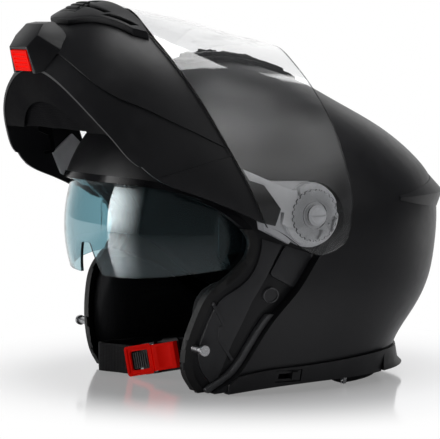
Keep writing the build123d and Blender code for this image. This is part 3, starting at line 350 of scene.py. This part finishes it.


# %% [markdown]
# The release button and the buckle are dyed a strong red, so that a gloved hand finds them at once. Their glow
# is painted light. Rubber and bead foam are duller than plastic, and the same recipe reaches them.

# %% Red plastic, rubber and foam
# The button is painted brighter, with more glow, and the buckle darker, with less: one red, lit and shaded.
red_plastic = moulded(
    "red moulded plastic, painted glow", (0.90, 0.0045, 0.0012), (0.98, 0.0070, 0.0015), (0.40, 0.50),
    grain=0.00001, specular=0.04, wear_and_highlight=0.0, dust=0.0, glow=0.28)
red_buckle_painted_dim_glow = moulded(
    "red buckle plastic, painted dim glow", (0.80, 0.0045, 0.0012), (0.90, 0.0070, 0.0015), (0.38, 0.48),
    grain=0.00001, specular=0.05, wear_and_highlight=0.0, dust=0.0, glow=0.10)
gasket_rubber = moulded(
    "black rubber", (0.004, 0.004, 0.004), (0.007, 0.007, 0.007), (0.5, 0.62),
    grain=0.00003, specular=0.35, wear_and_highlight=0.1, dust=0.08)
foam = moulded(
    "black bead foam", (0.003, 0.003, 0.0035), (0.006, 0.006, 0.0065), (0.7, 0.85),
    grain=0.00008, scale=320.0, specular=0.03, wear_and_highlight=0.0, dust=0.0)
print("mouldings", len(bpy.data.materials))


# %% [markdown]
# Clear visors are polished plastic. They need real transmission, since light has to pass through them, and
# hair scratches that only show in the gloss.

# %% Clear and tinted plastic
scratch_stretch, scratch_turn = (1.0, 30.0, 2.0), (0.3, 0.5, 0.2)
hair_scratches = (60.0, 6.0, 0.7)
slow_haze = (14.0, 2.0, 0.5)
scratch_edges = (0.30, 0.42)
haze_tone = 0.97


def stretched(tree, scale, turn=(0.0, 0.0, 0.0)):
    """The piece's own coordinates, stretched and turned."""
    mapping = add_node(tree, "ShaderNodeMapping", {"Scale": scale, "Rotation": turn})
    tree.links.new(own_place(tree), mapping.inputs["Vector"])
    return mapping.outputs["Vector"]


def clear_plastic(name, colour, gloss, weight, ior):
    """Transparent moulded plastic with hair scratches in its gloss."""
    material, tree, shader = finish_base(name)
    scratches = noise_of(tree, hair_scratches, stretched(tree, scratch_stretch, scratch_turn))
    slow = noise_of(tree, slow_haze)
    rough = spread(tree, product(tree, scratches, slow), scratch_edges, gloss)
    tree.links.new(rough, shader.inputs["Roughness"])
    tone = mix_colour(tree, slow, colour, tuple(part * haze_tone for part in colour))
    tree.links.new(tone, shader.inputs["Base Color"])
    shader.inputs["Transmission Weight"].default_value = weight
    shader.inputs["IOR"].default_value = ior
    return material


clear_visor = clear_plastic("clear visor", (0.995, 0.997, 1.0), (0.0, 0.012), weight=0.99, ior=1.42)
tinted_visor = clear_plastic("blue tinted visor", (0.40, 0.59, 0.64), (0.0, 0.02), weight=0.985, ior=1.46)
print("visors", clear_visor.name, tinted_visor.name)


# %% [markdown]
# Steel parts are turned or stamped, so their gloss runs in fine lines.

# %% Steel
line_stretch = (8.0, 1.0, 1.0)
machining_lines = (500.0, 4.0, 0.6)
line_edges = (0.3, 0.7)
line_tone = 0.85


def steel(name, colour, gloss):
    """Bare steel with fine machining lines."""
    material, tree, shader = finish_base(name)
    lines = noise_of(tree, machining_lines, stretched(tree, line_stretch))
    tree.links.new(spread(tree, lines, line_edges, gloss), shader.inputs["Roughness"])
    tone = mix_colour(tree, lines, colour, tuple(part * line_tone for part in colour))
    tree.links.new(tone, shader.inputs["Base Color"])
    shader.inputs["Metallic"].default_value = 1.0
    return material


bright_steel = steel("brushed steel", (0.62, 0.62, 0.63), (0.22, 0.38))
black_steel = steel("blackened steel", (0.018, 0.018, 0.020), (0.40, 0.55))
print("steels", bright_steel.name, black_steel.name)


# %% [markdown]
# Cloth scatters light at grazing angles, so its shader has sheen, and its knit comes from the shared group.

# %% Cloth
shade_edges, cloth_gloss = (0.2, 0.8), (0.95, 0.75)
knit_strength = 0.8
sheen_roughness = 0.5


def cloth(name, colour, tint, sheen, rows=700.0, depth=0.00025, specular=0.25):
    """Knitted or woven cloth."""
    material, tree, shader = finish_base(name)
    knit = place_group(tree, knit_group, Rows=rows, Strength=1.0)
    tree.links.new(mix_colour(tree, knit["Shade"], colour, tint), shader.inputs["Base Color"])
    tree.links.new(spread(tree, knit["Shade"], shade_edges, cloth_gloss), shader.inputs["Roughness"])
    bumped(tree, shader, knit["Height"], knit_strength, depth)
    shader.inputs["Sheen Weight"].default_value = sheen
    shader.inputs["Sheen Roughness"].default_value = sheen_roughness
    shader.inputs["Specular IOR Level"].default_value = specular
    return material


lining_knit = cloth("brushed knit lining", (0.0020, 0.0020, 0.0028), (0.0055, 0.0055, 0.0068), sheen=0.06)
webbing_weave = cloth(
    "woven webbing", (0.004, 0.004, 0.0045), (0.011, 0.011, 0.012), rows=420.0, depth=0.0004, sheen=0.1)
curtain_weave = cloth(
    "curtain cloth", (0.002, 0.002, 0.0025), (0.005, 0.005, 0.006),
    rows=560.0, depth=0.0003, sheen=0.0, specular=0.04)
print("cloths", lining_knit.name, webbing_weave.name, curtain_weave.name)


# %% [markdown]
# Every CAD piece now gets the finish that the record's slot names, so a piece and its neighbours of the same
# moulding match. A few pieces have a finish of their own inside their slot.

# %% Finishes on the CAD pieces
finish_of_slot = {
    "shell_black": shell_black, "chin_black": chin_black, "panel_grey": panel_grey, "strip_grey": strip_grey,
    "gloss_black": gloss_black, "trim_black": trim_black, "gasket_rubber": gasket_rubber,
    "clear_visor": clear_visor, "tinted_visor": tinted_visor, "hinge_plastic": hinge_plastic,
    "red_plastic": red_plastic, "steel": bright_steel, "foam": foam, "lining_fabric": lining_knit,
    "webbing": webbing_weave, "curtain_fabric": curtain_weave,
}
own_finish = {
    "pivot_screws": hinge_plastic, "chin_floor": chin_underside_painted_shade,
    "latch_claw_left": black_steel, "latch_claw_right": black_steel,
    "buckle_frame": red_buckle_painted_dim_glow, "buckle_lever": red_buckle_painted_dim_glow,
}
slot_of_node = {part["node"]: part["material_slot"] for part in frame["record"]["subparts"]}
for name, piece in nodes.items():
    piece.data.materials.clear()
    piece.data.materials.append(own_finish.get(name, finish_of_slot[slot_of_node[name]]))
print("finished", len(nodes), "CAD pieces")


# %% [markdown]
# ## New pieces
# Some parts are rounder or softer than their CAD solids, so new pieces take the place of those.
# Operators act on everything that is selected. The model arrives selected, so small helpers clear the
# selection before each new piece, and open one whole piece in edit mode.

# %% Selection helpers
def clear_selection():
    """Nothing is selected or active, and Blender is in object mode."""
    if bpy.context.mode != "OBJECT":
        bpy.ops.object.mode_set(mode="OBJECT")
    bpy.ops.object.select_all(action="DESELECT")
    bpy.context.view_layer.objects.active = None


def pick(piece):
    """Only this piece is selected and active."""
    clear_selection()
    piece.select_set(True)
    bpy.context.view_layer.objects.active = piece


def edit_whole(piece):
    """The piece is open in edit mode, with all of it selected."""
    pick(piece)
    bpy.ops.object.mode_set(mode="EDIT")
    bpy.ops.mesh.select_all(action="SELECT")


def leave_edit():
    """Back to object mode."""
    bpy.ops.object.mode_set(mode="OBJECT")


def settle(piece):
    """The piece's place, turn and size go into its mesh."""
    pick(piece)
    bpy.ops.object.transform_apply(location=True, rotation=True, scale=True)


# %% [markdown]
# Modifiers stay easy to read when one line gives a modifier all its settings.
# Each is applied at once, because the export wants plain meshes.

# %% Modifier and shading helpers
def add_modifier(piece, name, kind, **settings):
    """Modifier with its settings."""
    modifier = piece.modifiers.new(name, kind)
    for label, value in settings.items():
        setattr(modifier, label, value)
    return modifier


def apply_modifiers(piece):
    """The modifiers of a piece become its mesh."""
    pick(piece)
    for modifier in list(piece.modifiers):
        bpy.ops.object.modifier_apply(modifier=modifier.name)


def smooth(piece, angle):
    """Rounded shading that keeps edges sharper than the angle, in degrees."""
    pick(piece)
    bpy.ops.object.shade_smooth_by_angle(angle=math.radians(angle))


# %% [markdown]
# Some pieces start from the CAD solid that they stand for, so they fit its place exactly.
# A CAD mesh is loose triangles, so a copy is merged before anything else is done to it.

# %% Copies of CAD pieces, and dressing a new piece
merge_distance = 0.00001


def copy_of(name, new_name):
    """Copy of a CAD piece with its own mesh, its loose triangles merged."""
    piece = bpy.data.objects.new(new_name, nodes[name].data.copy())
    bpy.context.scene.collection.objects.link(piece)
    edit_whole(piece)
    bpy.ops.mesh.remove_doubles(threshold=merge_distance)
    leave_edit()
    return piece


def dress(piece, material, body, angle, stands_for=None):
    """Finish, shading and body of a new piece; the CAD node that it stands for is hidden."""
    piece.data.materials.clear()
    piece.data.materials.append(material)
    smooth(piece, angle)
    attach(piece, body)
    if stands_for:
        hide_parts(stands_for)
    print(piece.name, len(piece.data.polygons), "faces")
    return piece


# %% [markdown]
# ## Chin prow
# The chin bar runs out to a blunt prow that holds the red release button in a shallow pocket.
# Its facets are flat, so a block is cut by planes, which gives crisp edges from a few numbers.

# %% Cutting helpers
def cut_flat(piece, on_plane, facing):
    """Everything in front of a plane is cut away and the cut is closed."""
    edit_whole(piece)
    bpy.ops.mesh.bisect(plane_co=on_plane, plane_no=facing, use_fill=True, clear_outer=True)
    leave_edit()


def take_out(piece, cutter):
    """Boolean difference that uses the cutter up."""
    add_modifier(piece, "cut", "BOOLEAN", operation="DIFFERENCE", solver="EXACT", object=cutter)
    apply_modifiers(piece)
    bpy.data.objects.remove(cutter, do_unlink=True)


def block_between(name, low, high):
    """Box between two corners, with its size in its mesh."""
    clear_selection()
    middle = [(a + b) / 2 for a, b in zip(low, high)]
    bpy.ops.mesh.primitive_cube_add(size=1.0, location=middle)
    piece = bpy.context.object
    piece.name = name
    piece.scale = [b - a for a, b in zip(low, high)]
    settle(piece)
    return piece


# %% [markdown]
# The block is cut with the bar closed, where the prow's faces are square, and then lifted with the bar.
# A narrow bevel on its edges stands for the radius that a mould leaves.

# %% Prow from its planes
hinge = Vector((0.0, -0.021462, 0.131976))
bar_lift = math.radians(-74.0)
lifted = Matrix.Translation(hinge) @ Matrix.Rotation(bar_lift, 4, "X") @ Matrix.Translation(-hinge)

prow_half_width = 0.050
prow_front, prow_back = -0.1985, -0.166
prow_foot, prow_top = -0.0026, 0.0275
nose_half_width, foot_half_width = 0.0145, 0.0160
# Each plane is a point on it and the way that it faces; the cheeks are cut on both sides.
cheek_planes = [
    ((nose_half_width, prow_front, 0.02), (1.0, -0.62, 0.0)),
    ((foot_half_width, -0.1790, prow_foot), (1.0, -0.20, -0.55)),
]
middle_planes = [
    ((0.0, -0.1860, prow_foot), (0.0, -1.0, -0.70)),
    ((0.0, prow_front, 0.0160), (0.0, -1.0, 0.12)),
    ((0.0, -0.1945, 0.0255), (0.0, -0.55, 1.0)),
]
pocket_low, pocket_high = (-0.0136, -0.1838, -0.010), (0.0136, -0.1660, 0.0104)
prow_edge = 0.0007

prow = block_between(
    "chin_prow", (-prow_half_width, prow_front, prow_foot), (prow_half_width, prow_back, prow_top))
for across in (-1, 1):
    for point, facing in cheek_planes:
        cut_flat(prow, (across * point[0], *point[1:]), (across * facing[0], *facing[1:]))
for point, facing in middle_planes:
    cut_flat(prow, point, facing)
take_out(prow, block_between("pocket", pocket_low, pocket_high))
add_modifier(prow, "edge", "BEVEL", width=prow_edge, segments=2, limit_method="ANGLE")
apply_modifiers(prow)
prow.matrix_world = lifted
settle(prow)
print("prow", len(prow.data.polygons), "faces before it is fitted")


# %% [markdown]
# On the real helmet the prow is moulded onto the bar. The hull around the bar's shell is taken out of the
# block, so that the prow ends where the bar begins.

# %% Prow fitted to the chin bar
outside = copy_of("chin_bar_shell", "chin outside")
edit_whole(outside)
bpy.ops.mesh.convex_hull()
leave_edit()
take_out(prow, outside)
dress(prow, chin_black, "chin_bar", angle=30, stands_for="chin_beak")


# %% [markdown]
# ## Rounded edges
# Injection moulding leaves a small radius on every edge, and on black plastic that radius catches the light.
# The nearest facings are copied with their flat triangles merged, and their sharp edges are bevelled.

# %% Facings with rounded edges
facing_flatness = 0.8
radius_from_angle = math.radians(22)
panel_radius, facing_radius = 0.0009, 0.0006


def merge_flats(piece, angle):
    """Triangles that lie within the angle of one plane become one face."""
    edit_whole(piece)
    bpy.ops.mesh.dissolve_limited(angle_limit=math.radians(angle))
    leave_edit()


def rounded(name, new_name, body, material, width):
    """A facing whose sharp edges have a moulded radius."""
    piece = copy_of(name, new_name)
    merge_flats(piece, facing_flatness)
    add_modifier(
        piece, "radius", "BEVEL", width=width, segments=3, limit_method="ANGLE",
        angle_limit=radius_from_angle)
    apply_modifiers(piece)
    return dress(piece, material, body, angle=35, stands_for=name)


for side in ("left", "right"):
    rounded("jaw_panel_" + side, "jaw_facing_" + side, "helmet", panel_grey, panel_radius)
    rounded("side_cover_" + side, "side_facing_" + side, "helmet", panel_grey, facing_radius)
    rounded("step_strip_" + side, "strip_facing_" + side, "helmet", strip_grey, facing_radius)
rounded("chin_vent_frame", "chin_vent_facing", "chin_bar", trim_black, facing_radius)


# %% [markdown]
# The rubber edge of the face opening is trimmed square at the foot of the jaw, so that no thin lip of it is
# left near the ground. Weighted normals keep the shading of its long curved faces even.

# %% Rubber edge
rubber_foot, rubber_flatness = 0.0026, 1.5
rubber_edge = copy_of("jaw_gasket", "rubber_edge")
cut_flat(rubber_edge, (0.0, 0.0, rubber_foot), (0.0, 0.0, -1.0))
merge_flats(rubber_edge, rubber_flatness)
dress(rubber_edge, gasket_rubber, "helmet", angle=75, stands_for="jaw_gasket")
add_modifier(rubber_edge, "even", "WEIGHTED_NORMAL", keep_sharp=True)
apply_modifiers(rubber_edge)


# %% [markdown]
# ## Padding
# Cheek pads, crown pad and neck roll are foam in a knitted cover, and they swell between their seams.
# A copy of each solid is remeshed, blown up a little as cloth under pressure, capped so that it stays in its
# place, and smoothed. A cloth simulation gives the swelling without anyone having to draw it.

# %% Padded pieces
swell_pressure = 4.0
swell_frames = 12
pad_swell, neck_swell = 0.0022, 0.0012


def swell(piece):
    """The piece is blown up as cloth, without weight."""
    modifier = add_modifier(piece, "swell", "CLOTH")
    modifier.settings.use_pressure = True
    modifier.settings.uniform_pressure_force = swell_pressure
    modifier.settings.effector_weights.gravity = 0.0
    for frame_number in range(1, swell_frames + 1):
        bpy.context.scene.frame_set(frame_number)
    apply_modifiers(piece)
    bpy.context.scene.frame_set(1)


def puffed(name, new_name, voxel, cap):
    """A pad: remeshed, blown up, capped, smoothed and divided."""
    piece = copy_of(name, new_name)
    piece.data.remesh_voxel_size = voxel
    bpy.ops.object.voxel_remesh()
    start = [vertex.co.copy() for vertex in piece.data.vertices]
    swell(piece)
    for vertex, home in zip(piece.data.vertices, start):
        shift = vertex.co - home
        if shift.length > cap:
            vertex.co = home + shift.normalized() * cap
    add_modifier(piece, "soften", "SMOOTH", factor=0.5, iterations=3)
    add_modifier(piece, "divide", "SUBSURF", levels=1, render_levels=1)
    apply_modifiers(piece)
    dress(piece, lining_knit, "helmet", angle=80, stands_for=name)
    return piece


puffed("cheek_pad_left", "cheek_cushion_left", voxel=0.004, cap=pad_swell)
puffed("cheek_pad_right", "cheek_cushion_right", voxel=0.004, cap=pad_swell)
puffed("neck_roll", "neck_cushion", voxel=0.004, cap=neck_swell)
puffed("crown_pad", "crown_cushion", voxel=0.005, cap=pad_swell)


# %% [markdown]
# ## Straps and curtain
# Webbing is woven flat and never lies quite flat again. A copy of each strap is remeshed finely,
# its faces are given a gentle ripple, and its edges are softened.
# The curtain under the chin is made the same way.

# %% Webbing
cloth_voxel = 0.0008
ripples_per_metre = 55.0
strap_ripple, curtain_ripple = 0.0003, 0.0006


def woven(name, new_name, body, material, ripple):
    """Cloth piece with softened edges and a slight ripple."""
    piece = copy_of(name, new_name)
    piece.data.remesh_voxel_size = cloth_voxel
    bpy.ops.object.voxel_remesh()
    outward = [vertex.normal.copy() for vertex in piece.data.vertices]
    for vertex, normal in zip(piece.data.vertices, outward):
        vertex.co += normal * noise.noise(vertex.co * ripples_per_metre) * ripple
    add_modifier(piece, "soften", "SMOOTH", factor=0.5, iterations=2)
    apply_modifiers(piece)
    dress(piece, material, body, angle=60, stands_for=name)
    print(new_name, "area of one side", sum(face.area for face in piece.data.polygons) / 2)
    return piece


near_strap = woven("strap_left", "near_strap", "helmet", webbing_weave, strap_ripple)
far_strap = woven("strap_right", "far_strap", "helmet", webbing_weave, strap_ripple)
curtain = woven("chin_curtain", "chin_cloth", "chin_bar", curtain_weave, curtain_ripple)


# %% [markdown]
# A ratchet buckle pulls along a toothed strip, whose teeth show in the window of the buckle's frame.
# The teeth are bars set out in the buckle's own frame: length along X, thickness along Y, height along Z.
# One bar is made and moved by a pitch each time, then all are joined, since they are one strip.

# %% Ladder teeth under the buckle
buckle_middle = (0.0, -0.083, 0.0165)
buckle_turn, buckle_tilt = math.radians(24.7), math.radians(-12.0)
buckle_frame = (Matrix.Translation(buckle_middle) @ Matrix.Rotation(buckle_turn, 4, "Z")
                @ Matrix.Rotation(buckle_tilt, 4, "Y"))
tooth_count, tooth_pitch = 9, 0.0021
first_tooth = -0.0225
tooth_width = 0.0013
tooth_back, tooth_front = -0.0008, 0.0002
tooth_half_height = 0.0062


def joined(pieces, name):
    """Several pieces become one, with their places in its mesh."""
    clear_selection()
    for piece in pieces:
        piece.select_set(True)
    bpy.context.view_layer.objects.active = pieces[0]
    bpy.ops.object.join()
    whole = bpy.context.object
    whole.name = name
    settle(whole)
    return whole


teeth = []
for count in range(tooth_count):
    start = first_tooth + count * tooth_pitch
    tooth = block_between(
        "tooth", (start, tooth_back, -tooth_half_height), (start + tooth_width, tooth_front, tooth_half_height))
    tooth.matrix_world = buckle_frame @ tooth.matrix_world
    teeth.append(tooth)
ladder = joined(teeth, "ladder_teeth")
dress(ladder, trim_black, "helmet", angle=20)


# %% [markdown]
# ## Studio
# A pale glossy floor, a white backdrop that only camera, gloss and glass rays see, and a soft lamp overhead.
# Mirror rays, and rays that have bounced inside glass, see white only where they go behind the helmet.
# In front of it they see none, so that black plastic stays black and the visors stay clear.

# %% Who sees white
to_the_back = (-0.866, 0.5, 0.0)
any_bounce = 0.5


def shown_white(tree, place_or_way, edge):
    """1 for camera rays, rays straight through glass, and bounced rays that go behind the helmet."""
    path = tree.nodes.new("ShaderNodeLightPath").outputs
    unbent = maths(tree, "LESS_THAN", path["Glossy Depth"], any_bounce)
    through = product(tree, path["Is Transmission Ray"], unbent)
    facing = add_node(tree, "ShaderNodeVectorMath", operation="DOT_PRODUCT")
    facing.inputs[1].default_value = to_the_back
    tree.links.new(place_or_way, facing.inputs[0])
    behind = spread(tree, facing.outputs["Value"], edge)
    bounced = maths(tree, "MAXIMUM", path["Is Glossy Ray"], path["Is Transmission Ray"])
    direct = maths(tree, "MAXIMUM", path["Is Camera Ray"], through)
    return maths(tree, "MAXIMUM", direct, product(tree, bounced, behind))


def empty_tree(owner):
    """Node tree of a material or world, with nothing in it."""
    owner.use_nodes = True
    owner.node_tree.nodes.clear()
    return owner.node_tree


def show_mixed(tree, output_kind, amount, first, second):
    """The output shows the first shader, or the second where the amount is 1."""
    mixed = tree.nodes.new("ShaderNodeMixShader")
    tree.links.new(amount, mixed.inputs["Fac"])
    tree.links.new(first.outputs[0], mixed.inputs[1])
    tree.links.new(second.outputs[0], mixed.inputs[2])
    tree.links.new(mixed.outputs[0], tree.nodes.new(output_kind).inputs["Surface"])


# %% [markdown]
# The floor mirrors the helmet's foot and fades to plain white, as under a product photograph.
# A glossy shader is mixed with plain white by the distance from the middle.

# %% Floor
white = (1.0, 1.0, 1.0, 1.0)
floor_size = 6.0
floor_values = {"Base Color": (0.92, 0.92, 0.94, 1.0), "Metallic": 0.30, "Roughness": 0.10}
fade_reach, fade_white = (0.14, 0.28), (0.25, 1.0)
floor_back_edge = (0.05, 0.5)

clear_selection()
bpy.ops.mesh.primitive_plane_add(size=floor_size, location=(0.0, 0.0, 0.0))
floor = bpy.context.object
floor.name = "studio_floor"
floor_material = bpy.data.materials.new("studio floor")
tree = empty_tree(floor_material)
polished = add_node(tree, "ShaderNodeBsdfPrincipled", floor_values)
plain_white = add_node(tree, "ShaderNodeEmission", {"Color": white, "Strength": 1.0})
distance = add_node(tree, "ShaderNodeVectorMath", operation="LENGTH")
tree.links.new(own_place(tree), distance.inputs[0])
fade = spread(tree, distance.outputs["Value"], fade_reach, fade_white)
seen = shown_white(tree, own_place(tree), floor_back_edge)
show_mixed(tree, "ShaderNodeOutputMaterial", product(tree, fade, seen), polished, plain_white)
floor.data.materials.append(floor_material)
print("floor", floor_size, "m wide")


# %% [markdown]
# A studio lights its backdrop apart from the object. The world is white where it is seen, and elsewhere it
# gives only a faint cool light, which fills the shadows.

# %% Backdrop light
room_light = {"Color": (0.93, 0.96, 1.0, 1.0), "Strength": 0.10}
world_back_edge = (0.5, 0.95)

world = bpy.data.worlds.new("studio")
bpy.context.scene.world = world
tree = empty_tree(world)
shown = add_node(tree, "ShaderNodeBackground", {"Color": white})
lit = add_node(tree, "ShaderNodeBackground", room_light)
ray_way = tree.nodes.new("ShaderNodeTexCoord").outputs["Generated"]
show_mixed(tree, "ShaderNodeOutputWorld", shown_white(tree, ray_way, world_back_edge), lit, shown)
print("world", world.name)


# %% [markdown]
# A softbox hangs overhead. A wide lamp is used, because its width is what softens the shadows.

# %% Lamp overhead
def softbox(name, stands_at, aim, size, power):
    """Square lamp that points at a place."""
    lamp = bpy.data.lights.new(name, "AREA")
    lamp.shape = "RECTANGLE"
    lamp.size = lamp.size_y = size
    lamp.energy = power
    holder = bpy.data.objects.new(name, lamp)
    bpy.context.scene.collection.objects.link(holder)
    holder.location = stands_at
    holder.rotation_euler = (Vector(aim) - Vector(stands_at)).to_track_quat("-Z", "Y").to_euler()
    return holder


top_box = softbox("top box", (0.1, 0.1, 1.5), (0.0, 0.0, 0.12), size=1.0, power=16.0)
print("lamp", top_box.name)


# %% [markdown]
# Glossy plastic shows what stands around it, so white cards stand where the photograph shows their images.
# A card glows across its width from nothing to full, which gives the long soft edge of a studio reflection.
# The camera doesn't see the cards themselves, so they can't stand in the way of another view.

# %% Cards
card_aim = (0.0, 0.0, 0.15)
across_edge, foot_edge, head_edge = (-0.5, 0.4), (-0.5, -0.1), (0.1, 0.5)


def card(name, stands_at, size, glow, mirror_boost=0.0):
    """White glowing card that points at the helmet, brighter towards one side and in mirror images."""
    clear_selection()
    bpy.ops.mesh.primitive_plane_add(size=1.0)
    sheet = bpy.context.object
    sheet.name = name
    sheet.scale = (*size, 1.0)
    sheet.rotation_euler = (Vector(card_aim) - Vector(stands_at)).to_track_quat("Z", "Y").to_euler()
    sheet.location = stands_at
    material = bpy.data.materials.new(name)
    tree = empty_tree(material)
    split = tree.nodes.new("ShaderNodeSeparateXYZ")
    tree.links.new(own_place(tree), split.inputs[0])
    across = spread(tree, split.outputs["X"], across_edge)
    foot = spread(tree, split.outputs["Y"], foot_edge)
    head = spread(tree, split.outputs["Y"], head_edge, (1.0, 0.0))
    mirrored = tree.nodes.new("ShaderNodeLightPath").outputs["Is Glossy Ray"]
    boost = maths(tree, "ADD", product(tree, mirrored, mirror_boost), 1.0)
    light = tree.nodes.new("ShaderNodeEmission")
    tree.links.new(product(tree, across, foot, head, glow, boost), light.inputs["Strength"])
    tree.links.new(light.outputs[0], tree.nodes.new("ShaderNodeOutputMaterial").inputs["Surface"])
    sheet.data.materials.append(material)
    sheet.visible_camera = False
    return sheet


card("front card", (-0.45, -1.5, 0.35), (1.3, 1.1), glow=4.2, mirror_boost=1.5)
card("side card", (1.25, 0.75, 0.85), (1.5, 1.5), glow=1.5)
print("cards stand")


# %% [markdown]
# ## Camera
# The photograph was taken from the helmet's front left, a little above its middle, with a long lens.

# %% Camera
turn, lift, away = math.radians(60.0), math.radians(5.0), 1.8
target = Vector((0.0, -0.026, 0.1194))
lens_length, sensor_width = 191.45, 36.0

back = Vector((math.sin(turn) * math.cos(lift), -math.cos(turn) * math.cos(lift), math.sin(lift)))
camera_data = bpy.data.cameras.new("camera")
camera_data.lens = lens_length
camera_data.sensor_width = sensor_width
camera = bpy.data.objects.new("camera", camera_data)
bpy.context.scene.collection.objects.link(camera)
camera.location = target + back * away
camera.rotation_euler = (-back).to_track_quat("-Z", "Y").to_euler()
bpy.context.scene.camera = camera
bpy.context.scene.view_settings.view_transform = "Standard"
print("camera", camera.location)
